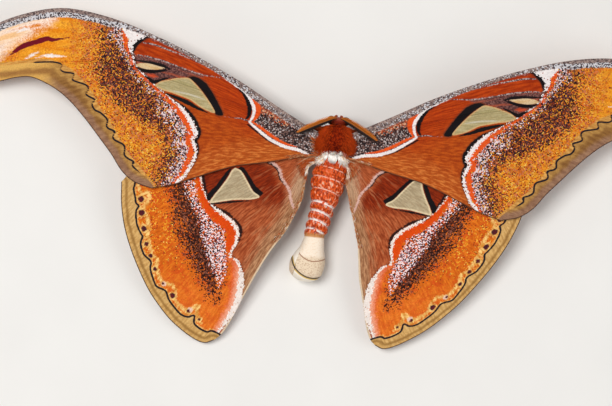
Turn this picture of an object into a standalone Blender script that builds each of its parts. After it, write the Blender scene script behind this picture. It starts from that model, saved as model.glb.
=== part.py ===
"""Atlas moth, life size, at rest with its wings spread flat.

The body lies along Y with the head at +Y, the back is up and the feet stand on z = 0.
Every size is in millimetres and becomes metres when a mesh is made. A wing is drawn
on a plan with two numbers, u outward from the body and v forward, and both sides share it.
"""
import math

import bmesh
import bpy
import numpy as np

MM = 0.001
GAP = 0.3                 # air between two nodes that meet
CREASE = math.radians(40)  # two faces that meet at more than this show an edge

# The body: y, then the centre's x and z, then half the width and half the height.
HEAD_X = 1.45
THORAX_X = 1.3            # where the legs' own places are measured from
HEAD = ((10.8, HEAD_X, 10.5, 0.9, 1.0), (10.45, HEAD_X, 10.6, 2.0, 2.1), (9.9, HEAD_X, 10.7, 2.8, 2.8),
        (9.2, HEAD_X, 10.8, 3.0, 2.9), (8.7, HEAD_X, 10.9, 2.5, 2.5))
THORAX = ((8.4, HEAD_X, 10.9, 2.4, 2.5), (7.6, 1.4, 11.1, 3.4, 4.0), (5.8, 1.35, 11.5, 4.8, 5.7),
          (3.0, THORAX_X, 11.8, 6.2, 6.5), (0.8, 1.2, 11.6, 6.6, 6.2), (-0.9, 1.0, 11.2, 5.2, 5.2))
ABDOMEN = ((-1.2, 0.95, 11.2, 4.3, 5.1), (-3.0, 0.85, 10.9, 4.7, 5.2), (-5.8, 0.7, 10.6, 5.9, 5.6),
           (-9.2, 0.4, 10.2, 6.1, 5.7), (-13.1, 0.05, 9.6, 5.6, 5.3), (-17.4, -0.5, 8.9, 4.7, 4.8),
           (-20.4, -0.95, 8.3, 4.3, 4.5), (-23.4, -1.45, 7.7, 4.2, 4.3), (-26.4, -2.0, 7.2, 4.1, 4.1),
           (-28.6, -2.4, 6.8, 3.6, 3.6))
ABDOMEN_TIP = ((-28.9, -2.4, 6.8, 3.6, 3.6), (-31.5, -2.7, 6.2, 3.9, 4.0), (-34.5, -3.3, 5.4, 5.0, 4.8),
               (-37.5, -3.8, 5.0, 5.9, 5.3), (-40.5, -4.0, 4.8, 5.6, 5.1), (-42.6, -3.9, 4.6, 4.1, 3.9),
               (-43.7, -3.9, 4.5, 2.0, 2.0))
SEGMENT_RINGS = (-2.6, -5.8, -9.2, -13.1, -17.4, -20.4, -23.4, -26.4)
SEGMENT_SWELL = 0.35      # how far a segment stands out between two rings
RING_MARGIN = 0.5         # the abdomen's own ends lie this far inside its first and last segment
SECTION_STEPS = 2         # cross sections from one row or ring to the next
SECTION_SIDES = 18
TIP_SQUARENESS = 2.6      # 2 is an ellipse, more is a flatter back

EYE_RADIUS = 1.45
EYE_PLACE = (2.35, 9.75, 10.9)        # out from the head's own centre line, then y and z
EYE_SIDES = 12
EYE_ROWS = 7
PALP_PATH = ((0.9, 9.2, 8.6), (1.0, 10.2, 8.0), (0.95, 10.9, 8.3), (0.75, 11.35, 9.3))
PALP_RADII = (0.7, 0.8, 0.65, 0.3)
PALP_SECTIONS = 9
PALP_SIDES = 8

# An antenna: a stem with a comb of rays on both sides, swept out and back over the wing.
ANTENNA_PATH = ((0.7, 9.7, 12.0), (1.4, 9.9, 14.4), (4.0, 9.2, 16.6), (8.0, 7.4, 17.9), (12.8, 4.6, 18.3))
ANTENNA_RAYS = 18
BARE_SHARES = (0.0, 0.06, 0.12)       # cross sections along the bare root
COMB_START = 0.16         # share of the antenna at which the comb begins
RAY_LENGTH = 1.9
RAY_SHAPE = ((0.0, 0.3), (0.15, 0.72), (0.5, 1.0), (0.8, 0.85), (1.0, 0.3))
RAY_SLANT = 0.55          # how far a ray's tip leans toward the antenna's tip
STEM_HALF = 0.34
STEM_TAPER = 0.35         # how much thinner the stem is at its tip
STEM_FLATNESS = 0.75      # its height against its width
NOTCH_REACH = 1.05        # a notch between two rays, against the stem's half width
RAY_HALF_THICKNESS = 0.2
RAY_TIP_THINNING = 0.6
COMB_TILT = math.radians(40)          # the front rays rise and the rear rays fall by this

# A leg: out of the thorax, over the knee, down the shin and along the foot on the floor.
FOOT_RADIUS = 0.5
LEG_SIDES = 8
FOOT_Z = FOOT_RADIUS * math.cos(math.pi / LEG_SIDES)
LEGS = {
    "front": ((2.6, 5.4, 8.6), (5.4, 6.6, 6.2), (9.4, 7.0, 7.6), (11.3, 6.5, 2.4),
              (12.0, 6.2, FOOT_Z), (14.0, 5.4, FOOT_Z), (16.4, 4.6, FOOT_Z)),
    "mid": ((3.2, 3.2, 8.4), (7.4, 1.9, 6.0), (13.0, 0.6, 8.2), (16.0, -0.4, 2.6),
            (16.8, -0.7, FOOT_Z), (19.0, -1.4, FOOT_Z), (21.6, -2.0, FOOT_Z)),
    "hind": ((3.2, 0.9, 8.2), (7.2, -2.6, 6.0), (11.0, -7.4, 8.2), (12.9, -11.6, 2.6),
             (13.4, -12.6, FOOT_Z), (14.6, -14.8, FOOT_Z), (15.6, -17.4, FOOT_Z)),
}
LEG_RADII = (1.3, 1.15, 0.95, 0.7, FOOT_RADIUS, FOOT_RADIUS, FOOT_RADIUS)
LEG_STEPS = 2             # cross sections from one point of the path to the next
TOE_TAPER = 0.6

# The forewing's plan, read clockwise: leading edge, outer edge with its hooked tip, rear edge.
FORE_COSTA = ((1.5, 3.4), (18.0, 12.0), (32.0, 19.6), (46.0, 26.0), (59.0, 31.1), (73.0, 35.5),
              (86.0, 37.7), (95.0, 37.3), (105.0, 34.5), (112.5, 31.2), (117.6, 27.6))
FORE_MARGIN = ((117.6, 27.6), (121.4, 23.4), (123.6, 18.2), (123.4, 13.6), (120.6, 10.9), (115.8, 10.8),
               (109.7, 12.6), (104.0, 14.2), (99.0, 14.5), (92.0, 11.9), (86.5, 8.3), (81.0, 3.1),
               (75.2, -3.3), (71.0, -8.1), (67.3, -13.0), (63.0, -16.2), (57.0, -17.9))
FORE_REAR = ((1.5, -1.8), (9.5, -3.2), (16.0, -5.0), (23.0, -6.6), (30.0, -8.1), (36.5, -10.4),
             (43.0, -13.1), (50.0, -16.0), (57.0, -17.9))
FORE_TURN = {"left": math.radians(-0.7), "right": math.radians(0.7)}
# Each vein: its place across the wing from 0 at the leading edge to 1, and where it starts.
FORE_VEINS = ((0.0, 0.0), (0.09, 0.0), (0.18, 0.34), (0.29, 0.36), (0.4, 0.38), (0.52, 0.0),
              (0.65, 0.3), (0.78, 0.2), (0.92, 0.0))
FORE_ROWS = 17

# The hindwing's plan, with the stretch of its leading edge that the forewing covers.
HIND_COSTA = ((2.0, -1.4), (9.0, 0.6), (17.0, 1.4), (28.0, 0.4), (42.0, -3.6), (55.0, -8.8),
              (63.0, -12.8), (67.0, -17.5))
HIND_MARGIN = ((67.0, -17.5), (66.4, -24.5), (64.9, -31.4), (62.6, -37.7), (59.6, -44.0), (55.6, -51.0),
               (51.8, -56.0), (47.4, -60.7), (42.8, -64.2), (38.2, -66.8), (34.8, -67.6), (32.0, -66.4))
HIND_REAR = ((2.0, -3.4), (6.2, -5.6), (7.1, -10.6), (7.7, -17.2), (9.5, -22.3), (12.1, -28.2),
             (16.3, -35.1), (19.2, -40.9), (21.7, -46.5), (24.0, -52.0), (26.6, -58.5), (29.4, -63.8),
             (32.0, -66.4))
HIND_HINGE = (7.0, -3.0)
# How each hindwing is drawn about its hinge: the right one is swung back and drawn in, and its
# inner edge bows outward by so much, most of all a third of the way along.
HIND_DRAW = {"left": ((1.0, 0.0), (0.0, 1.0)), "right": ((1.01, 0.172), (0.10, 0.977))}
HIND_BOW = {"left": 0.0, "right": 3.4}
BOW_SHAPE = ((0.0, 0.0), (0.12, 0.0), (0.23, 0.75), (0.34, 1.0), (0.42, 0.9), (0.52, 0.4), (0.66, 0.0),
             (1.0, 0.0))
BOW_FADE = 4              # the bow falls off across the wing with this power
HIND_VEINS = ((0.0, 0.0), (0.1, 0.0), (0.22, 0.3), (0.35, 0.32), (0.48, 0.0), (0.61, 0.3),
              (0.74, 0.22), (0.88, 0.0))
HIND_ROWS = 14

# Both wings lie on one arched surface, the hindwing a little under the forewing.
CREST = ((0.0, 14.3), (25.0, 15.9), (55.0, 17.0), (85.0, 15.2), (105.0, 12.0), (123.0, 7.6))
CREST_SLOPE = 0.42        # the crest of the arch runs forward by this for each mm outward
FALL_BEHIND_CREST = 0.0018
HINDWING_BELOW = 1.6
ROW_CROWDING = 0.9        # under 1 the rows are closer together out on the wing
MEMBRANE = 0.55           # thickness out on the wing
ROOT_THICKNESS = 1.5      # thickness at the hinge
ROOT_REACH = 0.14         # share of the length over which the root thins
HINDWING_THINNESS = 0.85  # its membrane against the forewing's
VEIN_HALF = 0.5
VEIN_SHARE_MOST = 0.026   # half a vein's width is never more of the wing's width than this
VEIN_RISE_SHARE = 0.06    # share of the length over which a vein rises out of the membrane
VEIN_TAPER = 0.5          # how much lower a vein stands at the outer edge
VEINS_APART = 0.08        # two veins further apart than this have a column between them
VEIN_TOP = 0.3
VEIN_UNDER = 0.18

COLOURS = {"head": (0.30, 0.07, 0.03), "eye": (0.02, 0.015, 0.012), "palp": (0.62, 0.28, 0.20),
           "antenna": (0.42, 0.17, 0.03), "thorax": (0.33, 0.06, 0.02), "abdomen": (0.55, 0.16, 0.04),
           "abdomen_tip": (0.82, 0.72, 0.56), "leg": (0.36, 0.12, 0.05), "forewing": (0.50, 0.13, 0.03),
           "hindwing": (0.46, 0.11, 0.03)}
ROUGHNESS = {"eye": 0.15, "abdomen_tip": 0.5}
PLAIN_ROUGHNESS = 0.85


def clear_scene():
    for obj in list(bpy.data.objects):
        bpy.data.objects.remove(obj)


def smooth(knots, at):
    """Values of a curve through the knots (x rising, then one value or more), with no overshoot."""
    knots = np.array(knots, float)
    x, y = knots[:, 0], knots[:, 1:]
    step = np.diff(x)[:, None]
    slope = np.diff(y, axis=0) / step
    tangent = np.zeros_like(y)
    product = slope[:-1] * slope[1:]
    total = np.where(slope[:-1] + slope[1:] == 0, 1, slope[:-1] + slope[1:])
    tangent[1:-1] = np.where(product > 0, 2 * product / total, 0)
    tangent[0], tangent[-1] = slope[0], slope[-1]
    at = np.asarray(at, float)
    i = np.clip(np.searchsorted(x, at, side="right") - 1, 0, len(x) - 2)
    h = (x[i + 1] - x[i])[..., None]
    f = np.clip((at[..., None] - x[i][..., None]) / h, 0, 1)
    return ((1 + 2 * f) * (1 - f) ** 2 * y[i] + f * (1 - f) ** 2 * h * tangent[i]
            + f * f * (3 - 2 * f) * y[i + 1] + f * f * (f - 1) * h * tangent[i + 1])


def along(points, share):
    """Points on a rounded curve through the given ones, at shares 0 to 1 of its length."""
    points = np.array(points, float)
    extended = np.vstack([2 * points[0] - points[1], points, 2 * points[-1] - points[-2]])
    fine = [points[:1]]
    f = np.linspace(0, 1, 13)[1:, None]
    for a, b, c, d in zip(extended, extended[1:], extended[2:], extended[3:]):
        fine.append(0.5 * (2 * b + (c - a) * f + (2 * a - 5 * b + 4 * c - d) * f ** 2
                           + (3 * b - a - 3 * c + d) * f ** 3))
    fine = np.vstack(fine)
    length = np.concatenate([[0], np.cumsum(np.linalg.norm(np.diff(fine, axis=0), axis=1))])
    return np.stack([np.interp(np.asarray(share) * length[-1], length, axis) for axis in fine.T], -1)


def make_material(kind):
    material = bpy.data.materials.new(kind)
    material.use_nodes = True
    shader = material.node_tree.nodes["Principled BSDF"]
    shader.inputs["Base Color"].default_value = (*COLOURS[kind], 1.0)
    shader.inputs["Roughness"].default_value = ROUGHNESS.get(kind, PLAIN_ROUGHNESS)
    shader.inputs["Metallic"].default_value = 0.0
    return material


def make_object(name, points, faces, kind):
    """A mesh object from points in millimetres, faces pointing out."""
    mesh = bpy.data.meshes.new(name)
    mesh.from_pydata((np.asarray(points) * MM).tolist(), [], [list(map(int, face)) for face in faces])
    build = bmesh.new()
    build.from_mesh(mesh)
    bmesh.ops.recalc_face_normals(build, faces=build.faces)
    build.to_mesh(mesh)
    build.free()
    mesh.shade_smooth()
    mesh.set_sharp_from_angle(angle=CREASE)
    obj = bpy.data.objects.new(name, mesh)
    bpy.context.scene.collection.objects.link(obj)
    if kind:
        mesh.materials.append(bpy.data.materials.get(kind) or make_material(kind))
    return obj


def skin_rings(rings):
    """Faces of a closed tube through the rings, which all have the same number of points."""
    count, sides = len(rings), len(rings[0])
    faces = [(start + j, start + (j + 1) % sides, start + sides + (j + 1) % sides, start + sides + j)
             for start in range(0, (count - 1) * sides, sides) for j in range(sides)]
    faces.append(range(sides))
    faces.append(range((count - 1) * sides, count * sides))
    return np.vstack(rings), faces


def stations(table, rings=()):
    """Where the cross sections of a body part stand: at its rings, or else its rows, and between."""
    marks = [table[0][0], *rings, table[-1][0]] if rings else [row[0] for row in table]
    spots = [a + (b - a) * i / SECTION_STEPS for a, b in zip(marks, marks[1:]) for i in range(SECTION_STEPS)]
    return spots + [marks[-1]]


def body_section(table, y, swell=0.0, squareness=2.0):
    """One ring of points round a body part at y, flat where it would pass through the floor."""
    x, z, wide, high = smooth(table[::-1], y)
    angle = np.arange(SECTION_SIDES) * 2 * math.pi / SECTION_SIDES
    cos, sin = np.cos(angle), np.sin(angle)
    reach = (np.abs(cos) ** squareness + np.abs(sin) ** squareness) ** (-1 / squareness)
    rise = np.maximum(z + (high + swell) * reach * sin, 0.0)
    return np.stack([x + (wide + swell) * reach * cos, np.full_like(cos, y), rise], -1)


def segment_swell(y):
    """How far the abdomen's skin stands out at y: nothing at a ring, most between two rings."""
    marks = (ABDOMEN[0][0] + RING_MARGIN, *SEGMENT_RINGS, ABDOMEN[-1][0] - RING_MARGIN)
    for front, back in zip(marks, marks[1:]):
        if back <= y <= front:
            return SEGMENT_SWELL * math.sin(math.pi * (front - y) / (front - back))
    return 0.0


def body_part(name, table, kind, rings=(), squareness=2.0, margin=0.0):
    """A part of the body as a closed form, or with a margin the room that others keep clear of it."""
    sections = []
    for y in stations(table, rings):
        swell = (segment_swell(y) if rings else 0.0) + margin
        sections.append(body_section(table, y, swell, squareness))
    sections[0][:, 1] += margin
    sections[-1][:, 1] -= margin
    return make_object(name, *skin_rings(sections), kind)


def ball(name, centre, radius, kind, around=EYE_SIDES, rows=EYE_ROWS):
    """A closed ball of rings with a point at each pole, the poles along x."""
    points = [(centre[0] - radius, centre[1], centre[2])]
    for row in range(1, rows):
        lean = math.pi * row / rows
        for step in range(around):
            turn = 2 * math.pi * step / around
            points.append((centre[0] - radius * math.cos(lean),
                           centre[1] + radius * math.sin(lean) * math.cos(turn),
                           centre[2] + radius * math.sin(lean) * math.sin(turn)))
    points.append((centre[0] + radius, centre[1], centre[2]))
    last = len(points) - 1
    faces = [(0, 1 + step, 1 + (step + 1) % around) for step in range(around)]
    for row in range(rows - 2):
        start = 1 + row * around
        faces += [(start + s, start + (s + 1) % around, start + around + (s + 1) % around, start + around + s)
                  for s in range(around)]
    start = 1 + (rows - 2) * around
    faces += [(last, start + (step + 1) % around, start + step) for step in range(around)]
    return make_object(name, points, faces, kind)


def frames(path):
    """Unit vectors along a path and two across it, the first of them level."""
    ahead = np.gradient(path, axis=0)
    ahead /= np.linalg.norm(ahead, axis=1)[:, None]
    level = np.cross(ahead, (0.0, 0.0, 1.0))
    level /= np.linalg.norm(level, axis=1)[:, None]
    return ahead, level, np.cross(level, ahead)


def tube(name, path, radii, sides, kind):
    """A tube along a path, one flat side down, with its radius read along its length."""
    _, level, rise = frames(path)
    angle = (np.arange(sides) + 0.5) * 2 * math.pi / sides
    rings = [centre + radius * (np.outer(np.cos(angle), a) + np.outer(np.sin(angle), b))
             for centre, radius, a, b in zip(path, radii, level, rise)]
    for ring in rings:
        ring[:, 2] = np.maximum(ring[:, 2], 0.0)
    return make_object(name, *skin_rings(rings), kind)


def trim(obj, *cutters):
    """Cut the cutters out of an object, apply the cuts and keep the largest closed surface."""
    for cutter in cutters:
        cut = obj.modifiers.new("cut", "BOOLEAN")
        cut.operation = "DIFFERENCE"
        cut.solver = "EXACT"
        cut.object = cutter
    evaluated = obj.evaluated_get(bpy.context.evaluated_depsgraph_get())
    mesh = bpy.data.meshes.new_from_object(evaluated)
    obj.modifiers.clear()
    build = bmesh.new()
    build.from_mesh(mesh)
    islands = []
    left = set(build.faces)
    while left:
        island, waiting = set(), [left.pop()]
        while waiting:
            face = waiting.pop()
            island.add(face)
            for edge in face.edges:
                for other in edge.link_faces:
                    if other in left:
                        left.discard(other)
                        waiting.append(other)
        islands.append(island)
    largest = max(islands, key=lambda island: sum(face.calc_area() for face in island))
    bmesh.ops.delete(build, geom=[face for face in build.faces if face not in largest], context="FACES")
    build.to_mesh(mesh)
    build.free()
    obj.data = mesh
    return obj


def side_name(side):
    return "right" if side > 0 else "left"


def mirrored(path, side, centre_x=0.0):
    """A path given outward from a centre line, placed on one side of it."""
    path = np.array(path, float)
    path[:, 0] = centre_x + side * path[:, 0]
    return path


def leg(place, side, thorax_room):
    share = np.linspace(0, 1, (len(LEG_RADII) - 1) * LEG_STEPS + 1)
    path = along(mirrored(LEGS[place], side, THORAX_X), share)
    knots = np.linspace(0, 1, len(LEG_RADII))
    radii = np.interp(share, knots, LEG_RADII)
    radii[-1] *= TOE_TAPER
    path[-1, 2] = radii[-1] * math.cos(math.pi / LEG_SIDES)
    name = f"leg_{place}_{side_name(side)}"
    return trim(tube(name, path, radii, LEG_SIDES, "leg"), thorax_room)


def antenna(side, rooms):
    """A stem with rays on both sides as one closed ribbon: its edge runs from ray tip to notch."""
    share = np.concatenate([BARE_SHARES, np.linspace(COMB_START, 1.0, 2 * ANTENNA_RAYS + 1)])
    path = along(mirrored(ANTENNA_PATH, side, HEAD_X), share)
    ahead, _, _ = frames(path)
    behind = np.array((0.0, -math.cos(COMB_TILT), -math.sin(COMB_TILT)))
    across = behind - (ahead @ behind)[:, None] * ahead
    across /= np.linalg.norm(across, axis=1)[:, None]
    normal = np.cross(ahead, across)
    on_comb = (share - COMB_START) / (1 - COMB_START)
    length = np.where(on_comb > 0, RAY_LENGTH * smooth(RAY_SHAPE, np.clip(on_comb, 0, 1))[:, 0], 0.0)
    tip = np.zeros(len(share), bool)
    tip[len(BARE_SHARES) + 1::2] = True
    reach = np.where(tip, STEM_HALF + length, STEM_HALF * NOTCH_REACH)
    slant = np.where(tip, length * RAY_SLANT, 0.0)
    thin = np.where(tip, RAY_HALF_THICKNESS * RAY_TIP_THINNING, RAY_HALF_THICKNESS)
    stem = STEM_HALF * (1 - STEM_TAPER * share)
    high = stem * STEM_FLATNESS
    columns = []
    straight = np.zeros(len(share))
    for offset, ahead_by, half in ((-reach, slant, thin), (-stem, straight, high),
                                   (stem, straight, high), (reach, slant, thin)):
        middle = path + across * offset[:, None] + ahead * ahead_by[:, None]
        columns.append((middle + normal * half[:, None], middle - normal * half[:, None]))
    top, under = [c[0] for c in columns], [c[1] for c in columns]
    rings = np.stack(top + under[::-1], axis=1)
    name = f"antenna_{side_name(side)}"
    return trim(make_object(name, *skin_rings(list(rings)), "antenna"), *rooms)


def wing_columns(veins):
    """Places across the wing, each with its side of a vein and where that vein starts.

    A vein has three places: its two feet, -1 and 1, and its ridge, 0. One more lies between two
    veins that are far apart.
    """
    columns = []
    for (t, start), after in zip(veins, (*veins[1:], (1.0, 0.0))):
        if t > 0:
            columns.append((t, -1, start))
        columns += [(t, 0, start), (t, 1, start)]
        if after[0] - t > VEINS_APART:
            columns.append(((t + after[0]) / 2, None, 0.0))
    columns.append((1.0, None, 0.0))
    return columns


def wing_plan(costa, margin, rear, veins, rows):
    """Grid of plan points from root to outer edge, their shares, and the veins' and sheet's heights.

    The sheet blends the leading and the rear edge across the wing, and the root line and the
    outer edge along it, so that a line between the edges follows all four.
    """
    s = np.linspace(0, 1, rows + 1) ** ROW_CROWDING
    front, back = along(costa, s), along(rear, s)
    chord = np.linalg.norm(front - back, axis=1)
    columns = wing_columns(veins)
    spread = np.clip(VEIN_HALF / chord, 0, VEIN_SHARE_MOST)
    across = np.array([[t + (side or 0) * half for t, side, _ in columns] for half in spread])
    outer = along(margin, across)
    root = front[0] + (back[0] - front[0]) * across[..., None]
    t, out = across[..., None], s[:, None, None]
    blend = (1 - t) * front[:, None] + t * back[:, None] + (1 - out) * root + out * outer
    corners = (1 - out) * ((1 - t) * front[0] + t * back[0]) + out * ((1 - t) * front[-1] + t * back[-1])
    ridge = np.array([side == 0 for _, side, _ in columns])
    starts = np.array([start for _, _, start in columns])
    risen = np.clip((s[:, None] - starts) / VEIN_RISE_SHARE, 0, 1)
    raised = np.where(ridge, risen * (1 - VEIN_TAPER * s[:, None]), 0.0)
    thickness = MEMBRANE + (ROOT_THICKNESS - MEMBRANE) * np.clip(1 - s / ROOT_REACH, 0, 1) ** 2
    shares = np.broadcast_to(s[:, None], raised.shape), across
    return blend - corners, shares, raised, np.broadcast_to(thickness[:, None], raised.shape)


def wing_height(u, v):
    """Height of the arched surface that the forewing lies on, over a point of the plan."""
    behind = v - CREST_SLOPE * u
    return smooth(CREST, u)[..., 0] - FALL_BEHIND_CREST * behind ** 2


def wing_sheet(name, plan, raised, thickness, side, below, kind):
    """The closed wing: the same grid above and below, cut into the same triangles, and an edge."""
    rows, columns = raised.shape
    u, v = plan[..., 0], plan[..., 1]
    middle = wing_height(u, v) - below
    top = middle + thickness / 2 + VEIN_TOP * raised
    under = middle - thickness / 2 - VEIN_UNDER * raised
    points = np.concatenate([np.stack([side * u, v, z], -1).reshape(-1, 3) for z in (top, under)])
    lower = rows * columns
    index = np.arange(lower).reshape(rows, columns)
    faces = []
    for i in range(rows - 1):
        for j in range(columns - 1):
            a, b, c, d = index[i, j], index[i, j + 1], index[i + 1, j + 1], index[i + 1, j]
            faces += [(a, b, c), (a, c, d)]
            faces += [(lower + c, lower + b, lower + a), (lower + d, lower + c, lower + a)]
    border = [*index[0], *index[1:, -1], *index[-1, -2::-1], *index[-2:0:-1, 0]]
    for a, b in zip(border, border[1:] + border[:1]):
        faces.append((b, a, lower + a, lower + b))
    return make_object(name, points, faces, kind)


def forewing(side, rooms):
    plan, _, raised, thickness = wing_plan(FORE_COSTA, FORE_MARGIN, FORE_REAR, FORE_VEINS, FORE_ROWS)
    turn = FORE_TURN[side_name(side)]
    cos, sin = math.cos(turn), math.sin(turn)
    plan = plan @ np.array([[cos, sin], [-sin, cos]])
    wing = wing_sheet(f"forewing_{side_name(side)}", plan, raised, thickness, side, 0.0, "forewing")
    return trim(wing, *rooms)


def hindwing(side, rooms):
    plan, (s, t), raised, thickness = wing_plan(HIND_COSTA, HIND_MARGIN, HIND_REAR, HIND_VEINS, HIND_ROWS)
    plan = HIND_HINGE + (plan - HIND_HINGE) @ np.array(HIND_DRAW[side_name(side)]).T
    plan[..., 0] += HIND_BOW[side_name(side)] * smooth(BOW_SHAPE, s)[..., 0] * t ** BOW_FADE
    name = f"hindwing_{side_name(side)}"
    wing = wing_sheet(name, plan, raised, thickness * HINDWING_THINNESS, side, HINDWING_BELOW, "hindwing")
    return trim(wing, *rooms)


def palp(side, head_room):
    share = np.linspace(0, 1, PALP_SECTIONS)
    path = along(mirrored(PALP_PATH, side, HEAD_X), share)
    radii = smooth(np.column_stack([np.linspace(0, 1, len(PALP_RADII)), PALP_RADII]), share)[:, 0]
    return trim(tube(f"palp_{side_name(side)}", path, radii, PALP_SIDES, "palp"), head_room)


def stand_on_middle(parts):
    """Hang every part under one empty, so that the middle of its box's foot is the origin."""
    corners = np.array([vertex.co[:] for part in parts for vertex in part.data.vertices])
    low, high = corners.min(axis=0), corners.max(axis=0)
    moth = bpy.data.objects.new("moth", None)
    moth.location = (-(low[0] + high[0]) / 2, -(low[1] + high[1]) / 2, -low[2])
    bpy.context.scene.collection.objects.link(moth)
    for part in parts:
        part.parent = moth


def main():
    clear_scene()
    head = body_part("head", HEAD, "head")
    thorax = body_part("thorax", THORAX, "thorax")
    abdomen = body_part("abdomen", ABDOMEN, "abdomen", rings=SEGMENT_RINGS)
    tip = body_part("abdomen_tip", ABDOMEN_TIP, "abdomen_tip", squareness=TIP_SQUARENESS)
    head_room = body_part("head_room", HEAD, None, margin=GAP)
    thorax_room = body_part("thorax_room", THORAX, None, margin=GAP)
    abdomen_room = body_part("abdomen_room", ABDOMEN, None, rings=SEGMENT_RINGS, margin=GAP)
    parts, rooms = [thorax, abdomen, tip], [head_room, thorax_room, abdomen_room]
    sockets = []
    for side in (-1, 1):
        out, y, z = EYE_PLACE
        centre = (HEAD_X + side * out, y, z)
        parts.append(ball(f"eye_{side_name(side)}", centre, EYE_RADIUS, "eye"))
        sockets.append(ball(f"socket_{side_name(side)}", centre, EYE_RADIUS + GAP, None))
    parts.append(trim(head, *sockets))
    for side in (-1, 1):
        parts.append(palp(side, head_room))
        parts.append(antenna(side, [head_room, thorax_room]))
        parts.append(forewing(side, [thorax_room, abdomen_room]))
        parts.append(hindwing(side, [thorax_room, abdomen_room]))
        for place in LEGS:
            parts.append(leg(place, side, thorax_room))
    for helper in rooms + sockets:
        bpy.data.objects.remove(helper)
    stand_on_middle(parts)


main()
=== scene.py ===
# %% [markdown]
# # An atlas moth, life size
#
# An atlas moth is mostly wing: two broad sheets on each side, covered with coloured scales, and a
# short furry body between them. A solid model of it, in millimetres and already at its true size,
# is loaded first. Nothing below moves it. Each of its parts is worked out again as a finer
# surface, which then takes the place of the solid one.

# %% Load the solid model
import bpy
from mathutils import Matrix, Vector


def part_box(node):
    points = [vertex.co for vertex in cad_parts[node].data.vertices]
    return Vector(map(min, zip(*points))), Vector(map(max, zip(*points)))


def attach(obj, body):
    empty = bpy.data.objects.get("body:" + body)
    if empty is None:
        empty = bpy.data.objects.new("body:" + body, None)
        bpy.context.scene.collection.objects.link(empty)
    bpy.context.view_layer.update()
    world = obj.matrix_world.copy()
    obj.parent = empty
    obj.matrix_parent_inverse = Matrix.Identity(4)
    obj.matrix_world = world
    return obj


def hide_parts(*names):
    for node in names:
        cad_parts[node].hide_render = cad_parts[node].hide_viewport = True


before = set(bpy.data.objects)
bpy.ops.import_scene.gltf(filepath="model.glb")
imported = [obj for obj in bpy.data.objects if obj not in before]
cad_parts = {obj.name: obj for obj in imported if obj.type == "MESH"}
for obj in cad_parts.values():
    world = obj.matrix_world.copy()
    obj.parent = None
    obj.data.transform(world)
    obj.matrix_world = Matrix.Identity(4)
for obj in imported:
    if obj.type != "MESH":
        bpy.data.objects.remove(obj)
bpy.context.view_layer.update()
print("solid parts:", len(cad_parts))

# %% Units, and where the moth's own origin lies
import math

import bpy
import numpy as np

MM = 0.001
THORAX_MIDDLE_X = 1.2     # in the moth's own millimetres, in which every size below is given
THORAX_FRONT_Y = 8.4
thorax_low, thorax_high = (np.array(corner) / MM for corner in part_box("thorax"))
ORIGIN = np.array([(thorax_low[0] + thorax_high[0]) / 2 - THORAX_MIDDLE_X,
                   thorax_high[1] - THORAX_FRONT_Y, 0.0])
print("the moth's origin in the frame, mm:", ORIGIN.round(2))

# %% [markdown]
# ## The camera
#
# The photograph looks straight down on the back, turned by six degrees, so both wings reach out of
# the picture. The camera could be placed by eye. It is worked out instead from the width that the
# picture takes in at the height of the wings, which keeps every later comparison honest.

# %% Camera
VIEW_MIDDLE = (-6.3, -18.03)
VIEW_WIDTH = 199.5
VIEW_TURN = math.radians(6)
WING_LEVEL = 12.0
CAMERA_ABOVE_WINGS = 600.0
SENSOR = 36.0
camera_data = bpy.data.cameras.new("camera")
camera_data.sensor_width = SENSOR
camera_data.lens = SENSOR * CAMERA_ABOVE_WINGS / VIEW_WIDTH
camera = bpy.data.objects.new("camera", camera_data)
camera.location = (ORIGIN + (*VIEW_MIDDLE, WING_LEVEL + CAMERA_ABOVE_WINGS)) * MM
camera.rotation_euler = (0, 0, VIEW_TURN)
bpy.context.scene.collection.objects.link(camera)
bpy.context.scene.camera = camera
print("lens, mm:", round(camera_data.lens, 1))

# %% [markdown]
# ## Curves from a few points
#
# Every outline here is a handful of measured points. Straight lines between them would show as
# corners, so one helper rounds a path through its points, and another reads a value from a
# short table without overshooting it.

# %% Two ways to read a curve
CURVE_STEPS = 12          # short straight steps between two given points of a rounded curve


def unit(vectors):
    """The vectors at length one."""
    return vectors / np.maximum(np.linalg.norm(vectors, axis=-1), 1e-9)[..., None]


def smooth(knots, at):
    """Values read from a table (x rising): a cubic between rows, level where the values turn."""
    knots = np.array(knots, float)
    x, y = knots[:, 0], knots[:, 1:]
    slope = np.diff(y, axis=0) / np.diff(x)[:, None]
    product, total = slope[:-1] * slope[1:], slope[:-1] + slope[1:]
    tangent = np.vstack([slope[:1], np.where(product > 0, 2 * product / np.where(total == 0, 1, total), 0),
                         slope[-1:]])
    at = np.asarray(at, float)
    i = np.clip(np.searchsorted(x, at, side="right") - 1, 0, len(x) - 2)
    h = (x[i + 1] - x[i])[..., None]
    f = np.clip((at[..., None] - x[i][..., None]) / h, 0, 1)
    return ((1 + 2 * f) * (1 - f) ** 2 * y[i] + f * (1 - f) ** 2 * h * tangent[i]
            + f * f * (3 - 2 * f) * y[i + 1] + f * f * (f - 1) * h * tangent[i + 1])


def bell(distance, width):
    """1 on a line, falling to nothing on both sides of it: exp(-(distance / width)^2)."""
    return np.exp(-(distance / width) ** 2)


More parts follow.
